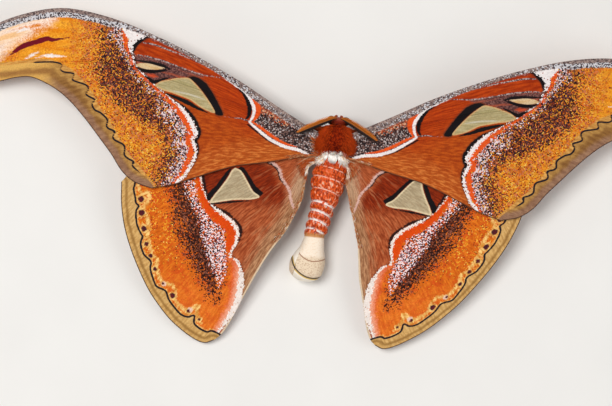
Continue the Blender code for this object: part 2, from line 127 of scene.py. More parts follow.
def along(points, share):
    """Points on a rounded curve through the given ones, at shares 0 to 1 of its length."""
    points = np.array(points, float)
    extended = np.vstack([2 * points[0] - points[1], points, 2 * points[-1] - points[-2]])
    a, b, c, d = (extended[i:len(extended) - 3 + i, None] for i in range(4))
    f = np.linspace(0, 1, CURVE_STEPS + 1)[1:, None]
    fine = 0.5 * (2 * b + (c - a) * f + (2 * a - 5 * b + 4 * c - d) * f ** 2
                  + (3 * b - a - 3 * c + d) * f ** 3)
    fine = np.vstack([points[:1], fine.reshape(-1, points.shape[1])])
    length = np.concatenate([[0], np.cumsum(np.linalg.norm(np.diff(fine, axis=0), axis=1))])
    return np.stack([np.interp(np.asarray(share) * length[-1], length, axis) for axis in fine.T], -1)


def rounded(*stretches, count=90):
    """One line through several rounded stretches that meet in sharp cusps."""
    return np.vstack([along(stretch, np.linspace(0, 1, count)) for stretch in stretches])

# %% [markdown]
# ## From arrays to a mesh
#
# Blender can build a mesh one face at a time, which is slow for a hundred thousand of them. Here
# each surface is a whole array of points and a whole array of corner numbers, handed over at once.
# Numbers that the finish needs later, such as the distance to a line of the pattern, go along as
# attributes of the points.

# %% Mesh helpers
CHART_EDGE = 0.01         # an unwrap keeps off the edge of its square by this
CHART_HALF = 0.47         # and one side of a wing takes this much of its width
CHART_RIM = 0.006         # the width of the strip for a wing's rim


def new_piece(name, points, face_sets, values=None, corners_uv=None):
    """A mesh object from points in the moth's millimetres, faces as rows of corner numbers."""
    mesh = bpy.data.meshes.new(name)
    points = (np.asarray(points, float).reshape(-1, 3) + ORIGIN) * MM
    corners = np.concatenate([faces.ravel() for faces in face_sets])
    sizes = np.concatenate([np.full(len(faces), faces.shape[1]) for faces in face_sets])
    mesh.vertices.add(len(points))
    mesh.vertices.foreach_set("co", points.ravel())
    mesh.loops.add(len(corners))
    mesh.loops.foreach_set("vertex_index", corners)
    mesh.polygons.add(len(sizes))
    mesh.polygons.foreach_set("loop_start", np.cumsum(sizes) - sizes)
    mesh.update(calc_edges=True)
    mesh.shade_smooth()
    for key, value in (values or {}).items():
        value = np.asarray(value, np.float32)
        kind = "FLOAT_VECTOR" if value.shape[-1] == 3 and value.size == 3 * len(points) else "FLOAT"
        attribute = mesh.attributes.new(key, kind, "POINT")
        attribute.data.foreach_set("vector" if kind == "FLOAT_VECTOR" else "value", value.ravel())
    if corners_uv is not None:
        chart = np.asarray(corners_uv, np.float32)
        mesh.uv_layers.new(name="OFBake").data.foreach_set("uv", chart.ravel())
    piece = bpy.data.objects.new(name, mesh)
    bpy.context.scene.collection.objects.link(piece)
    return piece


def dress(piece, finish, slot, *nodes):
    """Gives a piece its finish, hangs it on the body and lets it stand for its solids."""
    piece.data.materials.append(finish.material)
    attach(piece, "root")
    if nodes:
        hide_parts(*nodes)
    print(piece.name, "faces:", len(piece.data.polygons))


def shares(rows, columns):
    """Shares 0 to 1 down the rows of a grid and across its columns."""
    return np.linspace(0, 1, rows)[:, None], np.linspace(0, 1, columns)[None]


def grid_faces(rows, columns):
    """Corner numbers of the cells of a grid of points."""
    index = np.arange(rows * columns).reshape(rows, columns)
    return np.stack([index[:-1, :-1], index[:-1, 1:], index[1:, 1:], index[1:, :-1]], -1).reshape(-1, 4)


def tube_faces(rows, columns):
    """Corner numbers of a closed tube of rings, whose two end points follow the rings' own."""
    index = np.arange(rows * columns).reshape(rows, columns)
    index = np.hstack([index, index[:, :1]])
    cells = np.stack([index[1:, :-1], index[1:, 1:], index[:-1, 1:], index[:-1, :-1]], -1).reshape(-1, 4)
    first = np.stack([index[0, 1:], index[0, :-1], np.full(columns, rows * columns)], -1)
    last = np.stack([index[-1, :-1], index[-1, 1:], np.full(columns, rows * columns + 1)], -1)
    return cells, np.concatenate([first, last])


def chart_share(share):
    """A share from 0 to 1, kept just inside the unwrap's own square."""
    return CHART_EDGE + (1 - 2 * CHART_EDGE) * share

# %% [markdown]
# ## Shader sums as sums
#
# The pattern of a wing is a long sum of masks. Wired by hand it would be hundreds of nodes, so a
# small class lets an output socket be added and multiplied like a number, and each operation adds
# its own Math node. Every other node comes from one method.

# %% Wires and finishes
class Wire:
    """An output socket that takes part in sums: each operation adds a Math node."""

    def __init__(self, finish, socket):
        self.finish, self.socket = finish, socket

    def sum(self, operation, first, second):
        return self.finish.node("Math", {"operation": operation}, {0: first, 1: second})

    def __add__(self, other):
        return self.sum("ADD", self, other)

    def __sub__(self, other):
        return self.sum("SUBTRACT", self, other)

    def __rsub__(self, other):
        return self.sum("SUBTRACT", other, self)

    def __mul__(self, other):
        return self.sum("MULTIPLY", self, other)

    __radd__, __rmul__ = __add__, __mul__


class Finish:
    """One material and its nodes."""

    def __init__(self, name, **constants):
        self.material = bpy.data.materials.new(name)
        self.material.use_nodes = True
        self.tree = self.material.node_tree
        self.shader = self.tree.nodes["Principled BSDF"]
        for socket, value in constants.items():
            self.shader.inputs[socket.replace("_", " ")].default_value = value

    def node(self, kind, settings=None, sockets=None, out=0):
        """Adds a node: first its settings, then the values or wires of its sockets."""
        made = self.tree.nodes.new("ShaderNode" + kind)
        for key, value in (settings or {}).items():
            if key == "stops":
                self.set_stops(made.color_ramp, value)
            else:
                setattr(made, key, value)
        for key, value in (sockets or {}).items():
            self.plug(made.inputs[key], value)
        return Wire(self, made.outputs[out])

    def set_stops(self, ramp, stops):
        ramp.interpolation = "CONSTANT"
        while len(ramp.elements) < len(stops):
            ramp.elements.new(1.0)
        for element, (place, colour) in zip(ramp.elements, stops):
            element.position = place
            element.color = colour

    def plug(self, socket, value):
        if isinstance(value, Wire):
            self.tree.links.new(value.socket, socket)
        else:
            socket.default_value = value

    def base(self, colour):
        self.plug(self.shader.inputs["Base Color"], colour)

    def place(self):
        """The place on the piece itself, in metres."""
        return self.node("TexCoord", out="Object")

    def unsigned(self, value):
        """A value without its sign."""
        return self.node("Math", {"operation": "ABSOLUTE"}, {0: value})

    def read(self, name, vector=False):
        """A value that the mesh carries."""
        return self.node("Attribute", {"attribute_name": name}, out=1 if vector else 2)

    def apart(self, vector):
        """The three numbers of a vector or a colour."""
        made = self.node("SeparateXYZ", None, {0: vector})
        return [Wire(self, socket) for socket in made.socket.node.outputs]

    def above(self, value, edge, soft):
        """0 well under an edge, 1 well over it, with a smooth turn of the given half width."""
        return self.node("MapRange", {"interpolation_type": "SMOOTHSTEP"},
                         {0: value, 1: edge - soft, 2: edge + soft})

    def blend(self, under, over, mask):
        return self.node("Mix", {"data_type": "RGBA"}, {0: mask, 6: under, 7: over}, out=2)

    def layers(self, colour, rows):
        """Further colours laid over a first one in turn, each with its mask."""
        for over, mask in rows:
            colour = self.blend(colour, over, mask)
        return colour

    def dim(self, colour, light):
        """The colour times a brightness."""
        grey = self.node("CombineXYZ", None, {0: light, 1: light, 2: light})
        return self.node("Mix", {"data_type": "RGBA", "blend_type": "MULTIPLY"}, {0: 1.0, 6: colour, 7: grey},
                         out=2)

    def noise(self, vector, scale, detail=2.0):
        return self.node("TexNoise", None, {"Vector": vector, "Scale": scale, "Detail": detail})

    def pick(self, value, *choices):
        """Picks among colours by their shares, for a value that is evenly spread from 0 to 1."""
        places = np.concatenate([[0.0], np.cumsum([share for share, _ in choices])])
        return self.node("ValToRGB", {"stops": [(float(place), colour) for place, (_, colour) in
                                                zip(places, choices)]}, {0: value})

    def bump(self, height, distance):
        bump = self.node("Bump", None, {"Height": height, "Distance": distance, "Strength": 1.0})
        self.plug(self.shader.inputs["Normal"], bump)


def paint(red, green, blue):
    """A colour given in screen values 0 to 255, as the shader wants it."""
    share = np.array([red, green, blue]) / 255
    linear = np.where(share <= 0.04045, share / 12.92, ((share + 0.055) / 1.055) ** 2.4)
    return (*linear.tolist(), 1.0)

# %% [markdown]
# ## The shape of a wing
#
# A wing is a thin sheet between a leading edge, an outer edge and a rear edge. A flat cut-out
# would look like card. So the sheet is blended across from edge to edge, laid over one broad
# arch, raised along its veins and pulled down a little between them, and it thins to its rim.
# The plan is drawn with u outward and v forward, and both sides of the moth share it.

# %% The outlines, veins and arch
FORE_COSTA = (
    (1.5, 3.4), (18.0, 12.0), (32.0, 19.6), (46.0, 26.0), (59.0, 31.1), (73.0, 35.5), (86.0, 37.7),
    (95.0, 37.3), (105.0, 34.5), (112.5, 31.2), (117.6, 27.6)
)
FORE_MARGIN = (
    (117.6, 27.6), (121.4, 23.4), (123.6, 18.2), (123.4, 13.6), (120.6, 10.9), (115.8, 10.8), (109.7, 12.6),
    (104.0, 14.2), (99.0, 14.5), (92.0, 11.9), (86.5, 8.3), (81.0, 3.1), (75.2, -3.3), (71.0, -8.1),
    (67.3, -13.0), (63.0, -16.2), (57.0, -17.9)
)
FORE_REAR = (
    (1.5, -1.8), (9.5, -3.2), (16.0, -5.0), (23.0, -6.6), (30.0, -8.1), (36.5, -10.4), (43.0, -13.1),
    (50.0, -16.0), (57.0, -17.9)
)
FORE_TURN = {"left": math.radians(-0.7), "right": math.radians(0.7)}
FORE_VEINS = (
    (0.09, 0.0), (0.18, 0.34), (0.29, 0.36), (0.4, 0.38), (0.52, 0.0), (0.65, 0.3), (0.78, 0.2), (0.92, 0.0)
)
HIND_COSTA = (
    (2.0, -1.4), (9.0, 0.6), (17.0, 1.4), (28.0, 0.4), (42.0, -3.6), (55.0, -8.8), (63.0, -12.8),
    (67.0, -17.5)
)
HIND_MARGIN = (
    (67.0, -17.5), (66.4, -24.5), (64.9, -31.4), (62.6, -37.7), (59.6, -44.0), (55.6, -51.0), (51.8, -56.0),
    (47.4, -60.7), (42.8, -64.2), (38.2, -66.8), (34.8, -67.6), (32.0, -66.4)
)
HIND_REAR = (
    (2.0, -3.4), (6.2, -5.6), (7.1, -10.6), (7.7, -17.2), (9.5, -22.3), (12.1, -28.2), (16.3, -35.1),
    (19.2, -40.9), (21.7, -46.5), (24.0, -52.0), (26.6, -58.5), (29.4, -63.8), (32.0, -66.4)
)
FORE_EDGES = (FORE_COSTA, FORE_MARGIN, FORE_REAR)
HIND_EDGES = (HIND_COSTA, HIND_MARGIN, HIND_REAR)
HIND_HINGE = (7.0, -3.0)
HIND_DRAW = {"left": ((1.0, 0.0), (0.0, 1.0)), "right": ((1.01, 0.172), (0.10, 0.977))}
HIND_BOW = {"left": 0.0, "right": 3.4}      # how far the inner edge is pushed outward half way down
BOW_SHAPE = ((0, 0), (0.12, 0), (0.23, 0.75), (0.34, 1.0), (0.42, 0.9), (0.52, 0.4), (0.66, 0), (1, 0))
BOW_FADE = 4              # the power by which the push fades toward the leading edge
HIND_VEINS = ((0.1, 0.0), (0.22, 0.3), (0.35, 0.32), (0.48, 0.0), (0.61, 0.3), (0.74, 0.22), (0.88, 0.0))
CREST = ((0.0, 14.3), (25.0, 15.9), (55.0, 17.0), (85.0, 15.2), (105.0, 12.0), (123.0, 7.6))
CREST_SLOPE = 0.42        # the arch is highest along the line v = this times u
FALL_BEHIND_CREST = 0.0018
HINDWING_BELOW = 1.6      # the hindwing lies lower than the forewing's arch by this
MEMBRANE = 0.34
ROOT_THICKNESS = 1.1
ROOT_SHARE = 0.14         # the sheet thins from the root over this share of the wing
RIM_THICKNESS = 0.08
RIM_WIDTH = 1.2           # the rim thins over this
VEIN_WIDTH = 0.42
VEIN_HEIGHT = 0.26
VEIN_START = 0.06         # a branch rises over this share of the wing
PLEAT_DEPTH = 0.3
EDGES = ("costa", "margin", "rear")
EDGE_SAMPLES = 240
BLOCK = 4000              # points worked out at once, to spare memory


def wing_height(u, v):
    """Height of the arch: a smooth table over u, falling off behind the crest by a parabola."""
    behind = v - CREST_SLOPE * u
    return smooth(CREST, u)[..., 0] - FALL_BEHIND_CREST * behind ** 2


def nearest(points, line):
    """How far each point lies from a line of straight pieces, and how far along it that spot is."""
    flat = points.reshape(-1, 2)
    a, b = line[:-1], line[1:]
    step = b - a
    square = np.maximum((step ** 2).sum(1), 1e-12)
    start = np.concatenate([[0], np.cumsum(np.sqrt(square))])[:-1]
    best, place = np.full(len(flat), np.inf), np.zeros(len(flat))
    for i in range(0, len(flat), BLOCK):
        offset = flat[i:i + BLOCK, None] - a[None]
        f = np.clip((offset * step).sum(-1) / square, 0, 1)
        away = ((offset - f[..., None] * step) ** 2).sum(-1)
        which = away.argmin(1)
        row = np.arange(len(which))
        best[i:i + BLOCK] = np.sqrt(away[row, which])
        place[i:i + BLOCK] = start[which] + f[row, which] * np.sqrt(square[which])
    return best.reshape(points.shape[:-1]), place.reshape(points.shape[:-1])


def inside(points, outline):
    """Whether each point lies in an outline: a ray from it then crosses it an odd number of times."""
    flat = points.reshape(-1, 2)
    x0, y0 = outline.T
    x1, y1 = np.roll(outline, -1, axis=0).T
    odd = np.zeros(len(flat), bool)
    for i in range(0, len(flat), BLOCK):
        x, y = flat[i:i + BLOCK, :1], flat[i:i + BLOCK, 1:]
        crosses = (y0 > y) != (y1 > y)
        at = x0 + (y - y0) / np.where(y1 == y0, 1, y1 - y0) * (x1 - x0)
        odd[i:i + BLOCK] = (crosses & (x < at)).sum(1) % 2 == 1
    return odd.reshape(points.shape[:-1])


def wing_plan(costa, margin, rear, rows, columns):
    """The plan as a grid: the edges' own points, blended linearly both ways, less the corners' blend."""
    s, t = np.linspace(0, 1, rows), np.linspace(0, 1, columns)
    front, back, outer = along(costa, s)[:, None], along(rear, s)[:, None], along(margin, t)[None]
    s, t = s[:, None, None], t[None, :, None]
    root = (1 - t) * front[:1] + t * back[:1]
    corners = (1 - s) * root + s * ((1 - t) * front[-1:] + t * back[-1:])
    return (1 - t) * front + t * back + (1 - s) * root + s * outer - corners


def wing_relief(plan, veins):
    """Height of the veins and pleats over the sheet.

    A vein is a bell curve of the distance across it, and between two veins the sheet sinks by half a sine.
    """
    s, t = shares(*plan.shape[:2])
    chord = np.linalg.norm(plan[:, :1] - plan[:, -1:], axis=-1)
    relief = np.zeros(plan.shape[:2])
    for place, start in veins:
        grown = np.clip((s - start) / VEIN_START, 0, 1)
        away = np.abs(t - place) * chord
        relief += VEIN_HEIGHT * grown * (1 - 0.5 * s) * bell(away, VEIN_WIDTH)
    marks = np.array([0.0, *(place for place, _ in veins), 1.0])
    cell = np.clip(np.searchsorted(marks, t[0], side="right") - 1, 0, len(marks) - 2)
    share = (t[0] - marks[cell]) / (marks[cell + 1] - marks[cell])
    return relief - PLEAT_DEPTH * np.sin(np.pi * share)[None] * np.sin(np.pi * s) ** 0.5


def wing_mesh(name, place, relief, side, below, values):
    """The closed sheet: the plan's grid above and below its middle height, joined round the rim."""
    rows, columns = relief.shape
    u, v = place[..., 0], place[..., 1]
    rim = np.minimum.reduce([values[edge] for edge in EDGES])
    s, t = shares(rows, columns)
    full = MEMBRANE + (ROOT_THICKNESS - MEMBRANE) * np.clip(1 - s / ROOT_SHARE, 0, 1) ** 2
    half = 0.5 * (RIM_THICKNESS + (full - RIM_THICKNESS) * np.clip(rim / RIM_WIDTH, 0, 1) ** 0.5)
    middle = wing_height(u, v) - below + relief * np.clip(rim / RIM_WIDTH, 0, 1)
    points = np.concatenate([np.stack([side * u, v, z], -1).reshape(-1, 3)
                             for z in (middle + half, middle - half)])
    count = rows * columns
    top = grid_faces(rows, columns)
    index = np.arange(count).reshape(rows, columns)
    border = np.concatenate([index[0], index[1:, -1], index[-1, -2::-1], index[-2:0:-1, 0]])
    following = np.roll(border, -1)
    edge = np.stack([following, border, border + count, following + count], -1)
    faces = [top, top[:, ::-1] + count, edge]
    # The upper side takes the left half of the unwrap and the underside the right half. The rim is a
    # narrow strip round the upper side.
    s, t = np.broadcast_arrays(s, t)
    chart = np.stack([CHART_EDGE + CHART_HALF * s, chart_share(t)], -1).reshape(-1, 2)
    chart = np.concatenate([chart, chart + (0.5, 0)])
    strip = chart[edge]
    strip[:, 2:] = strip[:, 1::-1] + CHART_RIM * np.sign(strip[:, 1::-1] - (CHART_EDGE + CHART_HALF / 2, 0.5))
    if side < 0:
        faces = [part[:, ::-1] for part in faces]
        strip = strip[:, ::-1]
    corners_uv = np.concatenate([part.reshape(-1, 2) for part in (chart[faces[0]], chart[faces[1]], strip)])
    doubled = {key: np.concatenate([value.reshape(count, -1)] * 2).squeeze() for key, value in values.items()}
    doubled["under"] = np.repeat([0.0, 1.0], count)
    return new_piece(name, points, faces, doubled, corners_uv)

# %% [markdown]
# ## Lines and marks
#
# From the body outward the forewing shows a speckled patch, a white line, a rust-red field with
# two clear windows, a second white line, a field of mixed scales and a pale margin behind a
# stepped black line. Each mark is a measured line or outline. For every point of the sheet
# the distance to it is worked out here once, and the finish only asks where it is above zero.

# %% Distances to lines and outlines
FAR = 400.0               # how far off a place well outside every wing lies
RUN_ON = 300.0            # an open line is carried on this far past its ends


def beyond(points, line, away):
    """Distance to an open line, counted positive on the side that the direction `away` points to."""
    distance, _ = nearest(points, line)
    ends = [line[-1] + RUN_ON * unit(line[-1] - line[-2]), FAR * unit(np.array(away)),
            line[0] + RUN_ON * unit(line[0] - line[1])]
    return np.where(inside(points, np.vstack([line, *ends])), distance, -distance)


def spot(points, outline, count=120):
    """Distance to the rounded, closed outline through a few points, positive inside it."""
    ring = along([*outline, outline[0]], np.linspace(0, 1, count))[:-1]
    distance, _ = nearest(points, np.vstack([ring, ring[:1]]))
    return np.where(inside(points, ring), distance, -distance)


def stroke(points, line, *halves, count=60):
    """Positive inside a stroke: half its width, read along the line, less the distance to the line."""
    curve = rounded(line, count=count)
    distance, place = nearest(points, curve)
    share = place / np.linalg.norm(np.diff(curve, axis=0), axis=1).sum()
    return np.interp(share, np.linspace(0, 1, len(halves)), halves) - distance


def edge_fields(plan, outlines):
    """Distance to each of a wing's edges."""
    return {edge: nearest(plan, rounded(line, count=EDGE_SAMPLES))[0] for edge, line in zip(EDGES, outlines)}


def any_of(*fields):
    """Positive where any of the fields is."""
    return np.maximum.reduce(fields)

# %% Lines of the forewing
FORE_INNER_LINE = (
    ((38.5, 21.5), (36.5, 19.7), (33.1, 17.9), (30.3, 16.5), (28.4, 14.8), (26.9, 12.7), (26.0, 10.5),
     (26.4, 8.0), (27.2, 6.4)),
    ((27.2, 6.4), (23.9, 4.0), (19.8, 1.4), (15.0, -0.4), (10.7, -1.0), (7.3, -2.3), (3.0, -4.5)),
)
FORE_OUTER_LINE = (
    ((71.8, 37.5), (70.6, 33.0), (69.0, 31.0), (68.4, 29.0), (68.2, 26.6), (67.5, 24.8), (66.1, 21.6),
     (64.1, 19.1), (61.1, 16.8), (57.9, 14.3), (54.9, 12.2), (52.2, 10.7), (50.4, 9.8), (48.4, 7.9),
     (46.7, 5.7), (45.2, 3.4), (44.3, 1.4), (44.4, 0.0), (45.2, -0.9)),
    ((45.2, -0.9), (43.9, -3.6), (43.9, -6.4), (44.9, -9.2), (46.3, -12.2), (48.4, -14.8), (50.5, -18.5)),
)
# Over the plan's v: how far the zones of pale and of dark scales reach beyond the orange edge.
ZONE_REACH = (
    (-19, 2.0, 4.4), (-8, 3.2, 6.4), (0, 4.2, 7.4), (5, 4.0, 8.5), (9, 1.6, 11.0), (16, 0.8, 11.5),
    (24, 1.2, 9.0), (28, 2.8, 7.0), (34, 3.2, 6.0)
)
# Over the plan's v: how far the white line's middle lies from the outer line, half its width, how far
# the orange edge reaches on the near and the far side, and the black edge's width.
FORE_LINE_WIDTHS = (
    (-19, 0.0, 0.35, 0.0, 1.0, 0.0), (-13, 0.0, 0.5, 0.0, 1.7, 0.1), (-8, 0.0, 0.5, 0.0, 2.4, 0.3),
    (-4, 0.0, 0.5, 0.0, 2.4, 0.7), (-1.0, 0.0, 0.45, 0.0, 2.2, 0.9), (1.5, 0.0, 0.7, 0.0, 2.4, 1.2),
    (6, 0.0, 0.65, 0.0, 2.4, 1.2), (8.5, 0.0, 0.5, 0.0, 2.0, 0.9), (10.4, 0.0, 0.25, 0.0, 1.1, 0.4),
    (12, -0.45, 0.1, 0.4, 0.6, 0.0), (20, -0.45, 0.1, 0.45, 0.6, 0.1), (24, -0.5, 0.15, 0.4, 0.7, 0.3),
    (26.5, -0.5, 0.3, 0.0, 1.2, 0.2), (30, -0.5, 0.3, 0.0, 1.7, 0.0), (33, 0.0, 0.0, 0.0, 0.6, 0.0)
)
WHITE_WEDGE = (
    (67.6, 25.0), (68.2, 26.6), (68.6, 28.2), (68.6, 29.6), (69.9, 31.2), (70.9, 32.7), (68.6, 33.9),
    (66.2, 33.1), (62.4, 31.8), (63.4, 30.6), (65.3, 29.8), (66.3, 28.7), (66.8, 27.3), (67.2, 25.6)
)
WEDGE_SMEAR = ((70.6, 30.4), (68.7, 31.4), (66.4, 32.0), (66.0, 31.2), (68.2, 29.9), (70.2, 29.2))
CRESCENT = ((60.8, 31.0), (63.1, 30.8), (65.0, 29.5), (66.2, 28.0), (66.9, 25.9), (67.2, 24.4))
WINDOW = (
    (59.0, 15.3), (57.0, 16.8), (54.7, 17.6), (51.8, 18.4), (49.4, 18.8), (47.7, 18.7), (46.0, 17.4),
    (44.3, 15.9), (42.9, 14.4), (41.0, 12.2), (39.2, 9.8), (38.5, 8.3), (40.2, 8.5), (42.9, 9.5),
    (45.0, 10.7), (47.2, 11.9), (50.3, 12.8), (53.3, 13.6), (56.0, 14.1)
)
WINDOW_STREAK = ((54.5, 13.9), (51.3, 14.0), (48.3, 13.7), (45.3, 13.1), (42.3, 12.4))
BASAL_BLACK = (
    (48.3, 19.0), (46.8, 19.4), (44.6, 19.0), (42.4, 17.7), (40.8, 15.9), (39.3, 13.9), (37.5, 11.1),
    (35.9, 8.0), (38.2, 7.9), (38.9, 9.4), (40.6, 11.7), (42.6, 14.4), (45.7, 17.4)
)
LOWER_BLACK = (
    (55.6, 13.5), (53.3, 13.1), (50.0, 12.3), (47.2, 11.4), (44.7, 10.1), (42.0, 8.9), (40.6, 8.0),
    (44.0, 8.8), (47.1, 9.9), (50.2, 11.1), (52.9, 12.1), (54.8, 12.9)
)
SMALL_WINDOW = (
    (65.9, 21.4), (64.2, 22.1), (62.1, 22.3), (60.2, 22.1), (58.0, 21.7), (55.9, 21.2), (58.2, 20.6),
    (60.1, 20.4), (62.1, 20.4), (64.1, 20.8)
)
SMALL_TOP = ((67.0, 23.3), (64.9, 22.9), (62.6, 22.8), (59.4, 22.5), (56.9, 22.0), (54.0, 21.0))
SMALL_BOTTOM = ((65.6, 20.9), (63.0, 19.9), (60.0, 19.8), (56.8, 20.3), (54.0, 21.0))
WINDOW_CORNER = ((62.4, 18.2), (60.6, 17.3), (59.2, 16.4), (56.8, 17.4), (53.9, 18.5))
FRONT_VEIN = ((66.3, 29.0), (60.8, 28.6), (56.4, 27.5), (52.4, 26.4), (47.7, 24.9), (43.6, 23.5))
SECOND_VEIN = ((63.6, 30.4), (58.6, 29.4), (53.2, 27.8), (48.4, 26.2), (44.0, 24.4))
CELL_VEIN = (
    (67.3, 24.6), (63.2, 24.6), (59.0, 24.0), (54.8, 23.0), (51.5, 22.1), (47.9, 21.1), (43.6, 20.2),
    (40.0, 20.0), (36.6, 19.7)
)
CUSP_VEIN = ((36.0, 7.4), (30.5, 7.3), (28.5, 7.0), (27.0, 6.6))
MAUVE_ZONE = (
    (67.4, 24.4), (63.0, 24.4), (57.0, 23.6), (51.5, 22.1), (46.0, 20.9), (43.2, 20.0), (45.5, 19.0),
    (49.4, 18.9), (53.8, 18.0), (57.0, 16.9), (59.6, 15.4), (62.5, 17.8), (65.3, 20.4), (67.0, 22.6)
)
RED_SPOT = ((61.4, 18.6), (59.9, 18.5), (57.8, 18.2))
INNER_ORANGE = (
    ((31.8, 17.6), (28.7, 16.2), (26.3, 13.9), (24.9, 11.3), (24.8, 9.2), (25.8, 7.2)),
    ((26.6, 6.8), (22.9, 4.7), (19.2, 2.4), (15.1, 0.6), (11.0, -0.2)),
)
INNER_BLACK = (
    ((32.6, 17.2), (30.1, 15.7), (28.5, 13.6), (27.5, 10.7), (27.6, 8.6), (28.6, 7.0)),
    ((27.6, 5.6), (24.2, 3.4), (20.1, 0.8), (15.0, -1.1)),
)
FRONT_PATCH = ((26.0, 13.4), (20.8, 12.3), (16.0, 10.0), (11.4, 7.2), (13.7, 6.2), (18.4, 7.9), (22.9, 9.7))
TOOTHED = (
    (124.0, 17.0), (117.0, 17.4), (109.0, 17.8), (104.0, 18.8), (99.5, 19.4), (95.5, 19.9), (92.2, 20.1),
    (89.6, 19.5), (90.0, 18.0), (88.8, 17.2), (85.8, 17.0), (85.3, 16.4), (85.8, 15.2), (85.2, 14.6),
    (81.4, 13.7), (80.3, 12.8), (80.4, 11.8), (80.9, 10.9), (80.4, 10.2), (78.1, 9.3), (77.9, 8.8),
    (78.6, 7.8), (78.3, 6.7), (77.4, 5.7), (75.7, 5.1), (73.7, 3.6), (73.1, 2.6), (73.3, 1.0), (72.6, 0.2),
    (70.7, -0.4), (70.4, -0.9), (70.9, -2.1), (70.6, -3.1), (69.1, -3.8), (67.2, -4.6), (66.7, -5.8),
    (66.7, -7.8), (65.4, -8.9), (63.7, -9.6), (63.4, -10.1), (63.8, -11.0), (62.4, -12.3), (58.4, -15.0),
    (54.0, -20.0)
)
TOOTHED_MEAN = (
    (124.0, 17.0), (109.0, 17.8), (95.5, 19.9), (88.0, 18.0), (83.0, 14.3), (79.4, 10.4), (76.8, 6.2),
    (72.6, 1.2), (69.0, -4.0), (65.4, -8.6), (61.4, -12.6), (54.0, -20.0)
)
CRIMSON = (
    (107.6, 20.9), (106.0, 22.4), (103.3, 24.4), (100.1, 25.7), (96.9, 26.9), (95.2, 27.5), (92.9, 27.3),
    (88.1, 28.4)
)
TIP_LENSES = (
    ((98.6, 20.9), (94.9, 22.0), (88.4, 22.2)),
    ((102.4, 20.2), (99.8, 21.8), (97.4, 23.2)),
    ((106.0, 28.4), (103.4, 29.9), (100.6, 30.6)),
)
BAND_WIDTH = (
    (0, 2.6), (25, 2.6), (32, 1.9), (45, 1.5), (60, 1.3), (68, 1.6), (76, 2.9), (86, 3.0), (100, 2.9),
    (112, 2.6), (124, 1.6)
)
TOOTHED_HALF_WIDTH = 0.26
TOOTHED_ENDS = (98.5, -12.0)    # the stepped line dies away beyond this u and below this v
TIP_CORNER = (84.0, 17.0)       # the golden tip lies beyond this u and v
BLUSH_START = 92.0              # and its blush beyond this u, widening outward


